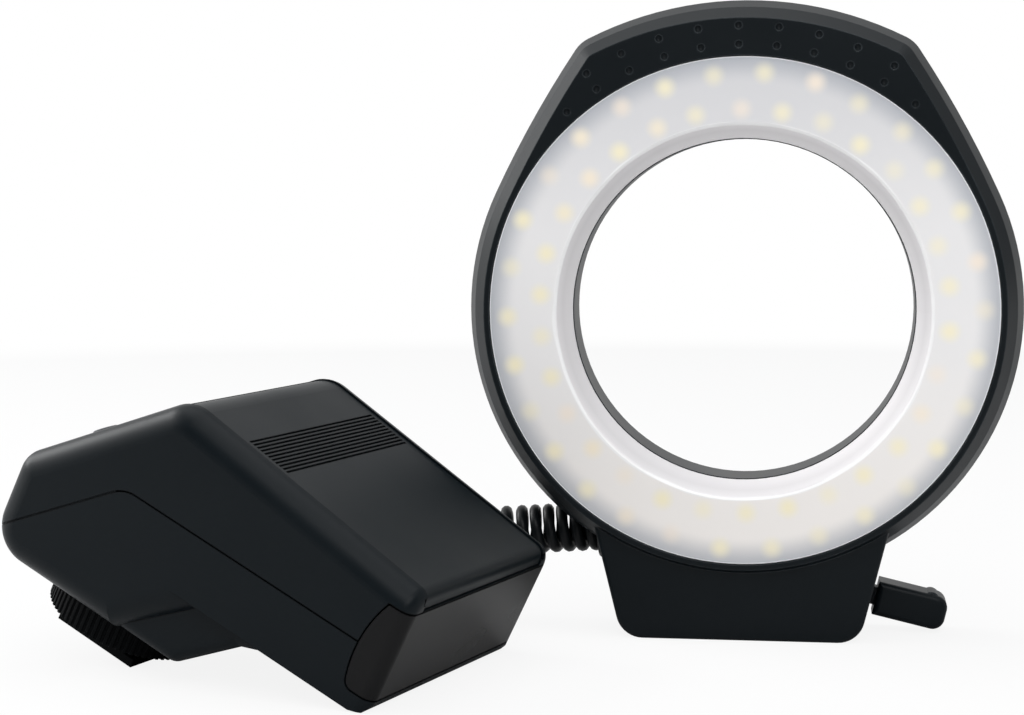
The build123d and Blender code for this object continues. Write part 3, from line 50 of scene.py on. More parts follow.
def addNode(tree, kind, inputs=None, **settings):
    node = tree.nodes.new(kind)
    for key, value in settings.items():
        setattr(node, key, value)
    for key, value in (inputs or {}).items():
        if isinstance(value, bpy.types.NodeSocket):
            tree.links.new(value, node.inputs[key])
        else:
            node.inputs[key].default_value = value
    return node


def calc(tree, operation, first, second=None):
    inputs = {0: first}
    if second is not None:
        inputs[1] = second
    return addNode(tree, "ShaderNodeMath", inputs, operation=operation).outputs[0]


def ramp(tree, value, fromLow, fromHigh, toLow=0.0, toHigh=1.0, smooth=False):
    kind = "SMOOTHSTEP" if smooth else "LINEAR"
    inputs = {"Value": value, "From Min": fromLow, "From Max": fromHigh, "To Min": toLow, "To Max": toHigh}
    return addNode(tree, "ShaderNodeMapRange", inputs, interpolation_type=kind).outputs["Result"]


def mixColour(tree, factor, first, second):
    node = addNode(tree, "ShaderNodeMix", data_type="RGBA")
    for index, value in ((0, factor), (6, first), (7, second)):
        if isinstance(value, bpy.types.NodeSocket):
            tree.links.new(value, node.inputs[index])
        else:
            node.inputs[index].default_value = value if index == 0 else (*value, 1.0)
    return node.outputs[2]


def newFinish(name):
    material = bpy.data.materials.new(name)
    material.use_nodes = True
    tree = material.node_tree
    return material, tree, tree.nodes["Principled BSDF"]


def setShader(shader, values):
    for key, value in values.items():
        shader.inputs[key].default_value = value


def objectSpot(tree):
    return addNode(tree, "ShaderNodeTexCoord").outputs["Object"]


def noise(tree, spot, scale, detail=2.0, roughness=0.5):
    inputs = {"Vector": spot, "Scale": scale, "Detail": detail, "Roughness": roughness}
    return addNode(tree, "ShaderNodeTexNoise", inputs).outputs["Fac"]


# the true normal rounded over at the edges
def roundedNormal(tree, radius):
    return addNode(tree, "ShaderNodeBevel", {"Radius": radius}, samples=4).outputs["Normal"]


# fine relief on the rounded normal, straight into the shader
def addRelief(tree, shader, height, strength, depth, normal=None):
    inputs = {"Strength": strength, "Distance": depth, "Height": height}
    if normal is not None:
        inputs["Normal"] = normal
    bump = addNode(tree, "ShaderNodeBump", inputs)
    tree.links.new(bump.outputs["Normal"], shader.inputs["Normal"])


def placePiece(name, data):
    piece = bpy.data.objects.new(name, data)
    bpy.context.collection.objects.link(piece)
    return piece


# Moulded plastic and rubber: fine grain, soft patches in the gloss, edges rounded.
# The head's edges are rubbed a little pale, which paints a highlight along them, and the box's are dull and
# dark where its pieces meet, painted shade along all their sharp edges.

def mouldedFinish(name, look):
    material, tree, shader = newFinish(name)
    spot = objectSpot(tree)
    grain = noise(tree, spot, look["grainScale"], 3.0, 0.6)
    patches = noise(tree, spot, look["patchScale"], 2.0)
    rounded = roundedNormal(tree, look["edgeRadius"])
    facing = addNode(tree, "ShaderNodeNewGeometry").outputs["Normal"]
    alike = addNode(tree, "ShaderNodeVectorMath", {0: rounded, 1: facing}, operation="DOT_PRODUCT")
    edge = ramp(tree, alike.outputs["Value"], *look["edgeFade"])
    edge = calc(tree, "MULTIPLY", edge, ramp(tree, patches, 0.35, 0.65, look["edgeLeast"], 1.0))
    shade = mixColour(tree, ramp(tree, patches, 0.2, 0.8), look["dark"], look["light"])
    # the edge colour: a painted highlight on the rubbed edges, painted shade on the seam edges
    shade = mixColour(tree, edge, shade, look["edge"])
    dull = ramp(tree, patches, 0.2, 0.8, *look["roughness"])
    dull = calc(tree, "ADD", dull, calc(tree, "MULTIPLY", edge, look["edgeDull"]))
    tree.links.new(shade, shader.inputs["Base Color"])
    tree.links.new(dull, shader.inputs["Roughness"])
    addRelief(tree, shader, grain, look["grain"], look["grainDepth"], rounded)
    setShader(shader, {"Specular IOR Level": look["specular"]})
    return material


# rubbed edges: a little pale, a painted highlight along them
rubbedEdgeHighlight = {"edgeFade": (0.995, 0.86), "edgeLeast": 0.4, "edgeDull": 0.0}
# seam edges: dark, painted shade where the pieces meet and along the other sharp edges
seamEdgeShade = {"edge": (0.0008, 0.0010, 0.0012), "edgeRadius": 0.00032, "edgeFade": (0.999, 0.97),
            "edgeLeast": 1.0, "edgeDull": 0.4}
mouldedLooks = {
    # the head's base is a touch lighter than the box's, painted light for the crown lit more from above
    "headPlastic": {"dark": (0.0026, 0.0048, 0.0064), "light": (0.0038, 0.0062, 0.0080),
                    "edge": (0.050, 0.058, 0.064), "roughness": (0.36, 0.44), "specular": 0.13,
                    "grainScale": 4200, "grain": 0.25, "grainDepth": 0.00004, "patchScale": 38,
                    "edgeRadius": 0.0005, **rubbedEdgeHighlight},
    "boxPlastic": {"dark": (0.0018, 0.0040, 0.0058), "light": (0.0028, 0.0052, 0.0070),
                   "roughness": (0.36, 0.44), "specular": 0.12,
                   "grainScale": 4200, "grain": 0.25, "grainDepth": 0.00004, "patchScale": 38,
                   **seamEdgeShade},
    "coverPlastic": {"dark": (0.0030, 0.0054, 0.0072), "light": (0.0042, 0.0068, 0.0086),
                     "roughness": (0.36, 0.44), "specular": 0.10,
                     "grainScale": 4600, "grain": 0.2, "grainDepth": 0.00004, "patchScale": 42,
                     **seamEdgeShade},
    "smokedPlastic": {"dark": (0.0062, 0.0062, 0.0066), "light": (0.0084, 0.0084, 0.0088),
                      "roughness": (0.25, 0.32), "specular": 0.09,
                      "grainScale": 5200, "grain": 0.05, "grainDepth": 0.00003, "patchScale": 30,
                      **seamEdgeShade},
    "knurledPlastic": {"dark": (0.0011, 0.0015, 0.0019), "light": (0.0020, 0.0026, 0.0031),
                       "edge": (0.009, 0.010, 0.011), "roughness": (0.55, 0.65), "specular": 0.05,
                       "grainScale": 3600, "grain": 0.3, "grainDepth": 0.00004, "patchScale": 70,
                       "edgeRadius": 0.0003, **rubbedEdgeHighlight},
    "cordRubber": {"dark": (0.0036, 0.0046, 0.0054), "light": (0.0054, 0.0066, 0.0078),
                   "edge": (0.010, 0.012, 0.013), "roughness": (0.34, 0.46), "specular": 0.16,
                   "grainScale": 2400, "grain": 0.15, "grainDepth": 0.00003, "patchScale": 90,
                   "edgeRadius": 0.0003, **rubbedEdgeHighlight},
    "buttonRubber": {"dark": (0.046, 0.049, 0.053), "light": (0.060, 0.064, 0.068),
                     "edge": (0.10, 0.105, 0.11), "roughness": (0.58, 0.70), "specular": 0.3,
                     "grainScale": 5200, "grain": 0.3, "grainDepth": 0.00003, "patchScale": 120,
                     "edgeRadius": 0.0004, **rubbedEdgeHighlight},
    "whitePlastic": {"dark": (0.68, 0.68, 0.66), "light": (0.76, 0.76, 0.74),
                     "edge": (0.80, 0.80, 0.79), "roughness": (0.42, 0.52), "specular": 0.5,
                     "grainScale": 3000, "grain": 0.1, "grainDepth": 0.00003, "patchScale": 60,
                     "edgeRadius": 0.0003, **rubbedEdgeHighlight},
}


# Diffuser: frosted white, with painted shade towards its rim and over its top, painted warm light low down,
# painted highlights at its outer edge and at the step to the cone, painted shade mid-cone, and the lit chips
# as soft pale spots of painted glow

diffuserLook = {
    "middle": (0.84, 0.825, 0.82), "clouded": (0.78, 0.775, 0.785), "rim": (0.40, 0.42, 0.46),
    "outline": (0.86, 0.87, 0.89), "cone": (0.84, 0.82, 0.83), "coneMiddleShade": (0.74, 0.72, 0.73),
    "stepHighlight": (0.93, 0.93, 0.93), "spot": (0.93, 0.86, 0.62), "spotAlt": (0.93, 0.82, 0.70),
    "paintedWarmLow": (0.92, 0.87, 0.82), "paintedWarmAmount": 0.6, "paintedShadeHigh": (0.60, 0.60, 0.62), "paintedShadeAmount": 0.7,
    "spotAmount": 0.92, "spotLeast": 0.414, "spotDrift": 0.5, "spotInner": 0.2, "spotOuter": 3.5,
    "rimRadius": 60.4, "rimFade": 6.5, "rimShadeAmount": 0.8, "outlineWidth": 0.35, "outlineFade": 0.21,
    "stepRadius": 45.0, "throatRadius": 41.2, "lineWidth": 0.6, "lineCore": 0.18, "stepHighlightAmount": 0.8,
    "lineWave": 0.3, "waveScale": 60.0, "cloudScale": 26.0, "cloudAmount": 0.6,
    "grainScale": 3800.0, "grain": 0.12, "grainDepth": 0.00003, "edgeRadius": 0.0003,
    "roughness": 0.42, "specular": 0.35,
}


def lengthOf(tree, first, second):
    squares = calc(tree, "ADD", calc(tree, "MULTIPLY", first, first), calc(tree, "MULTIPLY", second, second))
    return calc(tree, "SQRT", squares)


# each chip's painted glow shows through a little off its place, some stronger and some pinker than others
def addPaintedChipGlow(tree, look, shade, radius, turn):
    step = 2 * pi / chipsPerRow
    for rowRadius, phase in chipRows:
        place = calc(tree, "DIVIDE", calc(tree, "SUBTRACT", turn, radians(phase)), step)
        place = calc(tree, "ADD", place, 2 * chipsPerRow + 0.5)
        wrapped = calc(tree, "MODULO", calc(tree, "FLOOR", place), float(chipsPerRow))
        dice = addNode(tree, "ShaderNodeTexWhiteNoise", {"W": calc(tree, "ADD", wrapped, rowRadius)},
                       noise_dimensions="1D").outputs
        drift = addNode(tree, "ShaderNodeSeparateColor", {"Color": dice["Color"]}).outputs
        reach = look["spotDrift"] * mm
        across = calc(tree, "MULTIPLY", calc(tree, "SUBTRACT", calc(tree, "FRACT", place), 0.5),
                      step * rowRadius * mm)
        across = calc(tree, "ADD", across, ramp(tree, drift["Red"], 0.0, 1.0, -reach, reach))
        outward = calc(tree, "SUBTRACT", radius, rowRadius * mm)
        outward = calc(tree, "ADD", outward, ramp(tree, drift["Green"], 0.0, 1.0, -reach, reach))
        glow = ramp(tree, lengthOf(tree, across, outward), look["spotOuter"] * mm, look["spotInner"] * mm,
                    smooth=True)
        strength = ramp(tree, drift["Blue"], 0.0, 1.0, look["spotLeast"], look["spotAmount"])
        tint = mixColour(tree, ramp(tree, dice["Value"], 0.5, 0.8), look["spot"], look["spotAlt"])
        shade = mixColour(tree, calc(tree, "MULTIPLY", glow, strength), shade, tint)
    return shade


def diffuserFinish(look):
    material, tree, shader = newFinish("frostedDiffuser")
    spot = objectSpot(tree)
    parts = addNode(tree, "ShaderNodeSeparateXYZ", {"Vector": spot})
    x, z = parts.outputs["X"], calc(tree, "SUBTRACT", parts.outputs["Z"], ringAxisZ)
    radius = lengthOf(tree, x, z)
    turn = calc(tree, "ARCTAN2", calc(tree, "MULTIPLY", x, -1.0), z)
    clouds = noise(tree, spot, look["cloudScale"], 3.0)
    rim, step, throat = look["rimRadius"] * mm, look["stepRadius"] * mm, look["throatRadius"] * mm
    cloudy = ramp(tree, clouds, 0.3, 0.7, 0.0, look["cloudAmount"])
    shade = mixColour(tree, cloudy, look["middle"], look["clouded"])
    # painted warm light over the lower half of the diffuser
    warmLight = ramp(tree, z, 0.0, -rim * 0.8, 0.0, look["paintedWarmAmount"], smooth=True)
    shade = mixColour(tree, warmLight, shade, look["paintedWarmLow"])
    # painted shade over the upper half of the diffuser
    shadeHigh = ramp(tree, z, rim * 0.2, rim, 0.0, look["paintedShadeAmount"], smooth=True)
    shade = mixColour(tree, shadeHigh, shade, look["paintedShadeHigh"])
    # painted shade towards the rim, next to the bezel
    edge = ramp(tree, radius, rim - look["rimFade"] * mm, rim, smooth=True)
    shade = mixColour(tree, calc(tree, "MULTIPLY", edge, look["rimShadeAmount"]), shade, look["rim"])
    # the chips' painted glow as soft pale spots
    shade = addPaintedChipGlow(tree, look, shade, radius, turn)
    # a painted highlight along the diffuser's outer edge
    outline = ramp(tree, radius, rim - look["outlineWidth"] * mm, rim - look["outlineFade"] * mm)
    shade = mixColour(tree, outline, shade, look["outline"])
    # painted shade in the middle of the cone
    coneShadeBand = calc(tree, "MULTIPLY", ramp(tree, radius, throat, (throat + step) / 2),
                 ramp(tree, radius, step, (throat + step) / 2))
    cone = mixColour(tree, coneShadeBand, look["cone"], look["coneMiddleShade"])
    shade = mixColour(tree, ramp(tree, radius, step + 0.1 * mm, step - 0.1 * mm), shade, cone)
    # a painted highlight along the wavy step to the cone
    reach = look["lineWave"] * mm
    wave = ramp(tree, noise(tree, spot, look["waveScale"], 1.0), 0.3, 0.7, -reach, reach)
    offLine = calc(tree, "SUBTRACT", calc(tree, "SUBTRACT", radius, step - 0.2 * mm), wave)
    offLine = calc(tree, "ABSOLUTE", offLine)
    line = ramp(tree, offLine, look["lineWidth"] * mm, look["lineCore"] * mm, smooth=True)
    shade = mixColour(tree, calc(tree, "MULTIPLY", line, look["stepHighlightAmount"]), shade, look["stepHighlight"])
    tree.links.new(shade, shader.inputs["Base Color"])
    grain = noise(tree, spot, look["grainScale"])
    addRelief(tree, shader, grain, look["grain"], look["grainDepth"],
              roundedNormal(tree, look["edgeRadius"]))
    setShader(shader, {"Roughness": look["roughness"], "Specular IOR Level": look["specular"]})
    return material


# Glossy pieces: display, pilot lamp, cell wraps

smears = {"cloudScale": 30.0, "smearScale": 85.0, "smearReach": 0.07, "rippleScale": 300.0,
          "ripple": 0.03, "rippleDepth": 0.00005, "coatRoughness": 0.06}
glossLooks = {
    "screenGlass": {"shade": (0.030, 0.040, 0.036), "shadeAlt": (0.036, 0.048, 0.042), "roughness": 0.08,
                    "specular": 0.5, "coat": 0.5, "edgeRadius": 0.0002, **smears},
    "lampRed": {"shade": (0.42, 0.022, 0.016), "shadeAlt": (0.52, 0.030, 0.020), "roughness": 0.12,
                "specular": 0.5, "coat": 0.5, "edgeRadius": 0.0002, **smears},
    "cellWrap": {"shade": (0.11, 0.12, 0.14), "shadeAlt": (0.15, 0.16, 0.18), "roughness": 0.24,
                 "specular": 0.5, "coat": 0.4, "edgeRadius": 0.0003, **smears},
}


def glossFinish(name, look):
    material, tree, shader = newFinish(name)
    spot = objectSpot(tree)
    clouds = ramp(tree, noise(tree, spot, look["cloudScale"]), 0.3, 0.7)
    shade = mixColour(tree, clouds, look["shade"], look["shadeAlt"])
    smeared = noise(tree, spot, look["smearScale"], 3.0)
    dull = ramp(tree, smeared, 0.35, 0.75, look["roughness"], look["roughness"] + look["smearReach"])
    tree.links.new(shade, shader.inputs["Base Color"])
    tree.links.new(dull, shader.inputs["Roughness"])
    addRelief(tree, shader, noise(tree, spot, look["rippleScale"], 1.0), look["ripple"],
              look["rippleDepth"], roundedNormal(tree, look["edgeRadius"]))
    setShader(shader, {"Specular IOR Level": look["specular"], "Coat Weight": look["coat"],
                       "Coat Roughness": look["coatRoughness"]})
    return material


# Metal pieces and boards

brushed = {"streakScale": 900.0, "grain": 0.1, "grainDepth": 0.00002, "edgeRadius": 0.00015}
metalLooks = {
    "zincSteel": {"shade": (0.52, 0.53, 0.55), "shadeAlt": (0.64, 0.65, 0.66), "roughness": (0.22, 0.36),
                  **brushed},
    "goldBrass": {"shade": (0.70, 0.50, 0.20), "shadeAlt": (0.80, 0.60, 0.28), "roughness": (0.18, 0.30),
                  **brushed},
}


def metalFinish(name, look):
    material, tree, shader = newFinish(name)
    streaks = noise(tree, objectSpot(tree), look["streakScale"], 4.0)
    tree.links.new(mixColour(tree, streaks, look["shade"], look["shadeAlt"]), shader.inputs["Base Color"])
    tree.links.new(ramp(tree, streaks, 0.3, 0.7, *look["roughness"]), shader.inputs["Roughness"])
    addRelief(tree, shader, streaks, look["grain"], look["grainDepth"],
              roundedNormal(tree, look["edgeRadius"]))
    setShader(shader, {"Metallic": 1.0})
    return material


printed = {"trackScale": 320.0, "trackFade": (0.32, 0.36), "relief": 0.2, "reliefDepth": 0.00003,
           "roughness": 0.35, "coat": 0.3}
boardLooks = {
    "whiteBoard": {"mask": (0.74, 0.75, 0.73), "track": (0.66, 0.67, 0.65), **printed},
    "greenBoard": {"mask": (0.010, 0.075, 0.028), "track": (0.018, 0.115, 0.045), **printed},
}


def boardFinish(name, look):
    material, tree, shader = newFinish(name)
    cells = addNode(tree, "ShaderNodeTexVoronoi", {"Vector": objectSpot(tree), "Scale": look["trackScale"]},
                    distance="MANHATTAN", feature="F1").outputs["Distance"]
    tracks = ramp(tree, cells, *look["trackFade"])
    tree.links.new(mixColour(tree, tracks, look["mask"], look["track"]), shader.inputs["Base Color"])
    addRelief(tree, shader, tracks, look["relief"], look["reliefDepth"])
    setShader(shader, {"Roughness": look["roughness"], "Coat Weight": look["coat"]})
    return material


finishes = {name: mouldedFinish(name, look) for name, look in mouldedLooks.items()}
finishes.update({name: glossFinish(name, look) for name, look in glossLooks.items()})
finishes.update({name: metalFinish(name, look) for name, look in metalLooks.items()})
finishes.update({name: boardFinish(name, look) for name, look in boardLooks.items()})
finishes["frostedDiffuser"] = diffuserFinish(diffuserLook)
print("finishes made:", len(finishes))

nodeFinishes = {
    "headPlastic": ("head_front_bezel", "head_rear_housing", "release_lever"),
    "boxPlastic": ("upper_shell", "lower_shell", "battery_tray"),
    "coverPlastic": ("battery_cover", "control_panel"),
    "knurledPlastic": ("lock_wheel", "lock_washer", "shoe_foot", "power_switch"),
    "cordRubber": ("head_cord_gland", "box_cord_gland", "curly_cord"),
    "buttonRubber": ("button_1", "button_2", "button_3", "button_4", "button_5"),
    "whitePlastic": ("board_spacer", "latch_slider", "display_module", "led_emitters"),
    "frostedDiffuser": ("diffuser_ring",),
    "smokedPlastic": ("front_window",),
    "screenGlass": ("display_window",),
    "lampRed": ("pilot_lamp",),
    "cellWrap": ("battery_cells",),
    "zincSteel": ("head_screws", "lever_pivot_pin", "latch_spring", "switch_domes", "battery_contacts",
                  "battery_springs", "contact_spring", "foot_screws", "shell_screws"),
    "goldBrass": ("contact_pin",),
    "whiteBoard": ("led_board",),
    "greenBoard": ("head_terminal_board", "key_board", "main_board"),
}
for finish, names in nodeFinishes.items():
    for name in names:
        for place in cadNodes[name].material_slots:
            place.material = finishes[finish]


# Curly cord: one wound wire on the route between the two glands

cord = {
    "wireRadius": 1.42, "curlRadius": 4.7, "pitch": 3.3, "pitchBent": 4.22, "straightRun": 24.0,
    "leadBend": 2.8, "perTurn": 16,
    "route": ((-29.0146, 3.4, 25.2185), (-62.3, 3.4, 22.9), (-73.8, 8.5, 21.5), (-83.5, 19.0, 21.0),
              (-98.8, 23.8, 24.0), (-114.5, 20.3, 28.5), (-125.3789, 8.9094, 32.9748),
              (-131.3897, -10.1660, 32.9748)),
}


def nurbsCurve(name, points):
    curve = bpy.data.curves.new(name, "CURVE")
    curve.dimensions = "3D"
    spline = curve.splines.new("NURBS")
    spline.points.add(len(points) - 1)
    for point, spot in zip(spline.points, points):
        point.co = (*spot, 1.0)
    spline.order_u = 3
    spline.use_endpoint_u = True
    return placePiece(name, curve), curve, spline


# the route's own line as points close together, with the length walked to each
def readRoute():
    piece, curve, spline = nurbsCurve("cordRoute", [Vector(spot) * mm for spot in cord["route"]])
    spline.resolution_u = 40
    line = bpy.data.meshes.new_from_object(piece)
    spots = [vertex.co.copy() for vertex in line.vertices]
    bpy.data.objects.remove(piece)
    walked = [0.0]
    for before, after in zip(spots, spots[1:]):
        walked.append(walked[-1] + (after - before).length)
    return spots, walked


def routeAt(spots, walked, distance):
    index = 1
    while index < len(walked) - 1 and walked[index] < distance:
        index += 1
    span = walked[index] - walked[index - 1]
    share = (distance - walked[index - 1]) / span
    step = spots[index] - spots[index - 1]
    return spots[index - 1] + step * share, step.normalized()


def woundPoints():
    spots, walked = readRoute()
    radius = cord["curlRadius"] * mm
    wide = radius / (0.75 + 0.25 * cos(2 * pi / cord["perTurn"]))
    lead = (2 * cord["wireRadius"] + cord["leadBend"]) * mm
    distance, turn, side = lead, 0.0, Vector((0, 0, 1))
    points, ends = [], []
    while distance <= walked[-1] - lead:
        centre, along = routeAt(spots, walked, distance)
        side = (side - along * side.dot(along)).normalized()
        up = along.cross(side)
        bent = min(1.0, max(0.0, (distance / mm - cord["straightRun"]) / cord["curlRadius"]))
        pitch = (cord["pitch"] + (cord["pitchBent"] - cord["pitch"]) * bent) * mm
        outward = side * cos(turn) + up * sin(turn)
        sweep = up * cos(turn) - side * sin(turn)
        points.append(centre + outward * wide)
        ends.append((centre + outward * radius, sweep, along))
        distance += pitch / cord["perTurn"]
        turn += 2 * pi / cord["perTurn"]
    bend = cord["leadBend"] * mm
    stub = 2 * cord["wireRadius"] * mm
    first, sweep, along = ends[0]
    corner = first - sweep * bend
    leadIn = [corner - along * (bend + stub), corner - along * bend * 0.5, corner]
    last, sweep, along = ends[-1]
    away = (spots[-1] - spots[-2]).normalized()
    corner = last + sweep * bend
    left = (spots[-1] - corner).dot(away)
    leadOut = [corner, corner + away * bend * 0.5, corner + away * left]
    return leadIn + points + leadOut


cordPoints = woundPoints()
curlyCord, cordCurve, cordSpline = nurbsCurve("curlyCord", cordPoints)
cordSpline.resolution_u = 3
cordCurve.bevel_depth = cord["wireRadius"] * mm
cordCurve.bevel_resolution = 3
cordCurve.use_fill_caps = True
cordCurve.materials.append(finishes["cordRubber"])
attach(curlyCord, "light")
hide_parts("curly_cord")


# Light chips behind the diffuser: one package, arrayed on both rows

chips = {
    "boardFrontY": -7.8, "size": 3.4, "depth": 0.8, "taper": 0.96, "wellRoom": 0.15, "wellTaper": 0.8,
    "wellDepth": 0.44, "domeRadius": 1.25, "domeRise": 0.12, "domeSink": 0.06, "domeBack": 0.3, "sides": 12,
}


def ringArrayTree(material):
    tree = bpy.data.node_groups.new("ringArray", "GeometryNodeTree")
    sockets = [("Geometry", "NodeSocketGeometry"), ("Outer Radius", "NodeSocketFloat"),
               ("Inner Radius", "NodeSocketFloat"), ("Outer Turn", "NodeSocketFloat"),
               ("Inner Turn", "NodeSocketFloat"), ("Count", "NodeSocketInt"),
               ("Axis Height", "NodeSocketFloat")]
    for name, kind in sockets:
        tree.interface.new_socket(name, in_out="INPUT", socket_type=kind)
    tree.interface.new_socket("Geometry", in_out="OUTPUT", socket_type="NodeSocketGeometry")
    given = addNode(tree, "NodeGroupInput").outputs
    joined = addNode(tree, "GeometryNodeJoinGeometry")
    for radius, turn in (("Outer Radius", "Outer Turn"), ("Inner Radius", "Inner Turn")):
        ring = addNode(tree, "GeometryNodeMeshCircle", {"Vertices": given["Count"], "Radius": given[radius]})
        spun = addNode(tree, "ShaderNodeCombineXYZ", {"X": radians(90), "Y": given[turn]})
        stood = addNode(tree, "GeometryNodeTransform", {"Geometry": ring.outputs["Mesh"],
                                                        "Rotation": spun.outputs["Vector"]})
        spot = addNode(tree, "GeometryNodeInputPosition").outputs["Position"]
        aim = addNode(tree, "FunctionNodeAlignRotationToVector", {"Vector": spot}, axis="Z", pivot_axis="Y")
        placed = addNode(tree, "GeometryNodeInstanceOnPoints", {
            "Points": stood.outputs["Geometry"], "Instance": given["Geometry"],
            "Rotation": aim.outputs["Rotation"]})
        tree.links.new(placed.outputs["Instances"], joined.inputs["Geometry"])
    height = addNode(tree, "ShaderNodeCombineXYZ", {"Z": given["Axis Height"]})
    raised = addNode(tree, "GeometryNodeTransform", {"Geometry": joined.outputs["Geometry"],
                                                     "Translation": height.outputs["Vector"]})
    whole = addNode(tree, "GeometryNodeRealizeInstances", {"Geometry": raised.outputs["Geometry"]})
    painted = addNode(tree, "GeometryNodeSetMaterial", {"Geometry": whole.outputs["Geometry"],
                                                        "Material": material})
    addNode(tree, "NodeGroupOutput", {"Geometry": painted.outputs["Geometry"]})
    return tree


# the shape put round the ring by the tree, as one plain mesh
def arrayedPiece(name, shape, tree, values):
    maker = placePiece(name + "Maker", shape)
    modifier = maker.modifiers.new("array", "NODES")
    modifier.node_group = tree
    for item in tree.interface.items_tree:
        if item.in_out == "INPUT" and item.name in values:
            modifier[item.identifier] = values[item.name]
    bpy.context.view_layer.update()
    made = bpy.data.meshes.new_from_object(maker.evaluated_get(bpy.context.evaluated_depsgraph_get()))
    bpy.data.objects.remove(maker)
    return placePiece(name, made)


def meshFrom(name, build):
    mesh = bpy.data.meshes.new(name)
    work = bmesh.new()
    build(work)
    bmesh.ops.recalc_face_normals(work, faces=work.faces)
    work.to_mesh(mesh)
    work.free()
    return mesh


def ringPoints(work, radius, y, startDeg=0):
    angles = [radians(startDeg + 360 / chips["sides"] * i) for i in range(chips["sides"])]
    return [work.verts.new((radius * cos(angle), y, radius * sin(angle))) for angle in angles]


def wallBetween(work, low, high):
    count = len(low)
    for i in range(count):
        j = (i + 1) % count
        work.faces.new((low[i], low[j], high[j], high[i]))


# a square package with a round well in its front, facing -Y; each front side meets a quarter of the well
def chipBody(work):
    half, depth, front = chips["size"] / 2 * mm, chips["depth"] * mm, chips["boardFrontY"] * mm
    well = (chips["domeRadius"] + chips["wellRoom"]) * mm
    narrow = half * chips["taper"]
    corners = [(-1, -1), (1, -1), (1, 1), (-1, 1)]
    backRing = [work.verts.new((x * half, front, z * half)) for x, z in corners]
    frontRing = [work.verts.new((x * narrow, front - depth, z * narrow)) for x, z in corners]
    mouth = ringPoints(work, well, front - depth, 225)
    floor = ringPoints(work, well * chips["wellTaper"], front - chips["wellDepth"] * mm, 225)
    work.faces.new(backRing)
    wallBetween(work, backRing, frontRing)
    quarter = chips["sides"] // 4
    for i in range(4):
        meeting = [mouth[(quarter * i + k) % chips["sides"]] for k in range(quarter + 1)]
        work.faces.new([frontRing[i], frontRing[(i + 1) % 4]] + meeting[::-1])
    wallBetween(work, mouth, floor)
    work.faces.new(floor)


# the phosphor fill of the well, slightly domed
def chipDome(work):
    front = (chips["boardFrontY"] - chips["depth"]) * mm
    radius, rise = chips["domeRadius"] * mm, chips["domeRise"] * mm
    rings = [ringPoints(work, radius, front + chips["domeBack"] * mm)]
    for share, height in ((1.0, 0.0), (0.7, 0.6), (0.35, 0.9)):
        rings.append(ringPoints(work, radius * share, front + chips["domeSink"] * mm - rise * height))
    for low, high in zip(rings, rings[1:]):
        wallBetween(work, low, high)
    work.faces.new(rings[-1])
    work.faces.new(rings[0])


phosphorLook = {"shade": (0.86, 0.68, 0.14), "shadeAlt": (0.90, 0.74, 0.20), "roughness": 0.3,
                "specular": 0.5, "coat": 0.2, "edgeRadius": 0.0001, **smears}
phosphorFinish = glossFinish("yellowPhosphor", phosphorLook)
(outerRadius, outerPhase), (innerRadius, innerPhase) = chipRows
chipValues = {"Outer Radius": outerRadius * mm, "Inner Radius": innerRadius * mm,
              "Outer Turn": radians(-outerPhase), "Inner Turn": radians(-innerPhase),
              "Count": chipsPerRow, "Axis Height": ringAxisZ}
chipBodies = arrayedPiece("chipBodies", meshFrom("chipBody", chipBody),
                          ringArrayTree(finishes["whitePlastic"]), chipValues)
chipDomes = arrayedPiece("chipDomes", meshFrom("chipDome", chipDome),
                         ringArrayTree(phosphorFinish), chipValues)
for piece in (chipBodies, chipDomes):
    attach(piece, "light")
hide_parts("led_emitters")
print("light chips:", len(chipBodies.data.polygons) + len(chipDomes.data.polygons), "faces")


# Parting tongue: the lip in the shells' seam round the box's tail, which keeps light from showing through

tongue = {"up": (-0.278, 0.0876, 0.956), "seamHeight": 72.0, "reach": 0.1, "alike": 0.998, "inset": 0.12,
          "rise": 0.3}


# the lower shell's seam face at the tail, drawn in by the inset and raised into the gap
def partingTongue(work):
    up = Vector(tongue["up"]).normalized()
    shell = bpy.data.objects["lower_shell"].data
    for face in shell.polygons:
        offSeam = abs(face.center.dot(up) / mm - tongue["seamHeight"])
        if face.normal.dot(up) > tongue["alike"] and offSeam < tongue["reach"]:
            work.faces.new([work.verts.new(shell.vertices[index].co) for index in face.vertices])
    bmesh.ops.remove_doubles(work, verts=work.verts, dist=0.001 * mm)
    rim = bmesh.ops.inset_region(work, faces=work.faces, thickness=tongue["inset"] * mm,
                                 use_boundary=True, use_even_offset=True)
    bmesh.ops.delete(work, geom=rim["faces"], context="FACES")
    raised = bmesh.ops.extrude_face_region(work, geom=work.faces)
    for part in raised["geom"]:
        if isinstance(part, bmesh.types.BMVert):
            part.co += up * tongue["rise"] * mm


tongueMesh = meshFrom("partingTongue", partingTongue)
tongueMesh.materials.append(finishes["boxPlastic"])
tonguePiece = placePiece("partingTongue", tongueMesh)
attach(tonguePiece, "light")
print("parting tongue:", len(tongueMesh.polygons), "faces")


# Floor, lamps and camera

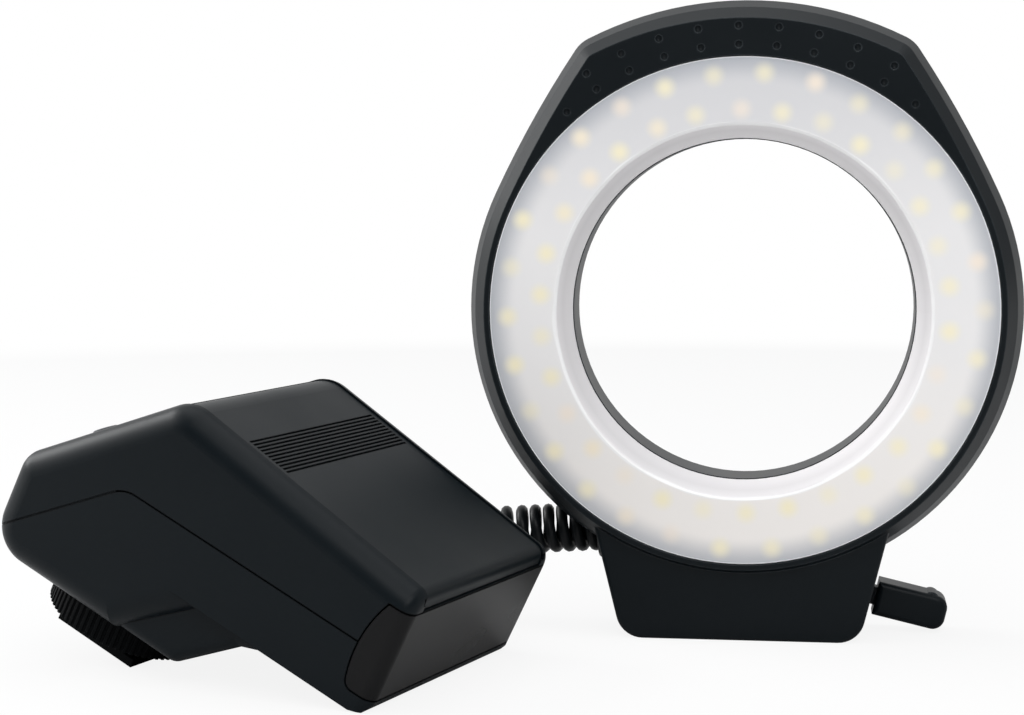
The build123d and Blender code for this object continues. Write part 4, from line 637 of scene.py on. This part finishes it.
studio = {
    "floorSize": 6.0, "floorShade": 0.62, "shadowShare": 0.12, "fadeFrom": 0.35, "fadeTo": 0.9,
    "skyTop": (0.95, 0.97, 1.0), "skyDim": (0.20, 0.21, 0.22), "skyPale": (0.9, 0.9, 0.9),
    "skyStrength": 0.55, "paleWay": (-0.6, 0.8, 0.0), "paleFrom": -0.35, "paleTo": 0.55,
    "topFrom": 0.25, "topTo": 0.9, "backdropFrom": 0.0, "backdropTo": 0.6,
    "lamps": (
        {"name": "topLamp", "spot": (-0.05, -0.06, 0.85), "aim": (-0.05, 0.0, 0.05), "size": (0.9, 0.7),
         "power": 4.2},
        {"name": "leftLamp", "spot": (-0.85, -0.25, 0.35), "aim": (-0.08, 0.0, 0.05), "size": (0.5, 0.8),
         "power": 2.2},
        {"name": "backLamp", "spot": (-0.95, 0.26, 0.58), "aim": (-0.14, 0.0, 0.05), "size": (0.5, 0.5),
         "power": 7.5},
        {"name": "rightLamp", "spot": (0.75, -0.10, 0.30), "aim": (0.0, 0.0, 0.06), "size": (0.4, 0.7),
         "power": 0.9},
        {"name": "frontLamp", "spot": (0.14, -0.85, 0.76), "aim": (0.0, 0.0, 0.08), "size": (0.6, 0.6),
         "power": 5.2},
    ),
    "camera": {"spot": (0.0172, -0.5712, 0.1197), "tiltDeg": 84.75, "yawDeg": 7.38, "lensMm": 82.5,
               "sensorMm": 36.0, "near": 0.01, "far": 20.0},
}


# what the camera sees, and what metal and glass show
def seenRays(tree):
    rays = addNode(tree, "ShaderNodeLightPath").outputs
    return rays["Is Camera Ray"], calc(tree, "MAXIMUM", rays["Is Glossy Ray"], rays["Is Transmission Ray"])


# far out the floor is the white backdrop; near the object it keeps its shadow, in full in reflections
def floorFinish():
    material, tree, shader = newFinish("paleFloor")
    shade = studio["floorShade"]
    setShader(shader, {"Base Color": (shade, shade, shade, 1.0), "Roughness": 0.9,
                       "Specular IOR Level": 0.0})
    away = addNode(tree, "ShaderNodeVectorMath", {0: objectSpot(tree)}, operation="LENGTH").outputs["Value"]
    far = ramp(tree, away, studio["fadeFrom"], studio["fadeTo"], smooth=True)
    straight, bounced = seenRays(tree)
    near = calc(tree, "MULTIPLY", straight, 1.0 - studio["shadowShare"])
    seen = calc(tree, "MAXIMUM", straight, bounced)
    white = calc(tree, "MAXIMUM", near, calc(tree, "MULTIPLY", seen, far))
    backdrop = addNode(tree, "ShaderNodeEmission", {"Strength": 1.0})
    mixed = addNode(tree, "ShaderNodeMixShader", {0: white, 1: shader.outputs["BSDF"],
                                                  2: backdrop.outputs["Emission"]})
    tree.links.new(mixed.outputs["Shader"], tree.nodes["Material Output"].inputs["Surface"])
    return material


def makeFloor():
    half = studio["floorSize"] / 2
    mesh = bpy.data.meshes.new("floor")
    corners = [(-half, -half, 0), (half, -half, 0), (half, half, 0), (-half, half, 0)]
    mesh.from_pydata(corners, [], [(0, 1, 2, 3)])
    mesh.materials.append(floorFinish())
    placePiece("floor", mesh)


# a room pale behind the object and dim in front; the camera sees the white backdrop all round
def makeWorld():
    world = bpy.data.worlds.new("studio")
    bpy.context.scene.world = world
    world.use_nodes = True
    tree = world.node_tree
    background = tree.nodes["Background"]
    way = addNode(tree, "ShaderNodeTexCoord").outputs["Generated"]
    height = addNode(tree, "ShaderNodeSeparateXYZ", {"Vector": way}).outputs["Z"]
    behind = addNode(tree, "ShaderNodeVectorMath", {0: way, 1: studio["paleWay"]},
                     operation="DOT_PRODUCT").outputs["Value"]
    pale = ramp(tree, behind, studio["paleFrom"], studio["paleTo"], smooth=True)
    overhead = ramp(tree, height, studio["topFrom"], studio["topTo"], smooth=True)
    shade = mixColour(tree, pale, studio["skyDim"], studio["skyPale"])
    shade = mixColour(tree, overhead, shade, studio["skyTop"])
    straight, bounced = seenRays(tree)
    paleSide = ramp(tree, behind, studio["backdropFrom"], studio["backdropTo"], smooth=True)
    seen = calc(tree, "MAXIMUM", straight, calc(tree, "MULTIPLY", bounced, paleSide))
    shade = mixColour(tree, seen, shade, (1.0, 1.0, 1.0))
    strength = ramp(tree, seen, 0.0, 1.0, studio["skyStrength"], 1.0)
    tree.links.new(shade, background.inputs["Color"])
    tree.links.new(strength, background.inputs["Strength"])


def makeLamp(look):
    light = bpy.data.lights.new(look["name"], "AREA")
    light.shape = "RECTANGLE"
    light.size, light.size_y = look["size"]
    light.energy = look["power"]
    lamp = placePiece(look["name"], light)
    lamp.location = look["spot"]
    lamp.visible_camera = False
    lamp.rotation_euler = (Vector(look["aim"]) - Vector(look["spot"])).to_track_quat("-Z", "Y").to_euler()


def makeCamera(look):
    lens = bpy.data.cameras.new("camera")
    lens.sensor_fit = "HORIZONTAL"
    lens.sensor_width = look["sensorMm"]
    lens.lens = look["lensMm"]
    lens.clip_start = look["near"]
    lens.clip_end = look["far"]
    camera = placePiece("camera", lens)
    camera.location = look["spot"]
    camera.rotation_euler = (radians(look["tiltDeg"]), 0.0, radians(look["yawDeg"]))
    bpy.context.scene.camera = camera


makeFloor()
makeWorld()
for look in studio["lamps"]:
    makeLamp(look)
makeCamera(studio["camera"])
bpy.context.scene.view_settings.view_transform = "Standard"
print("studio ready")
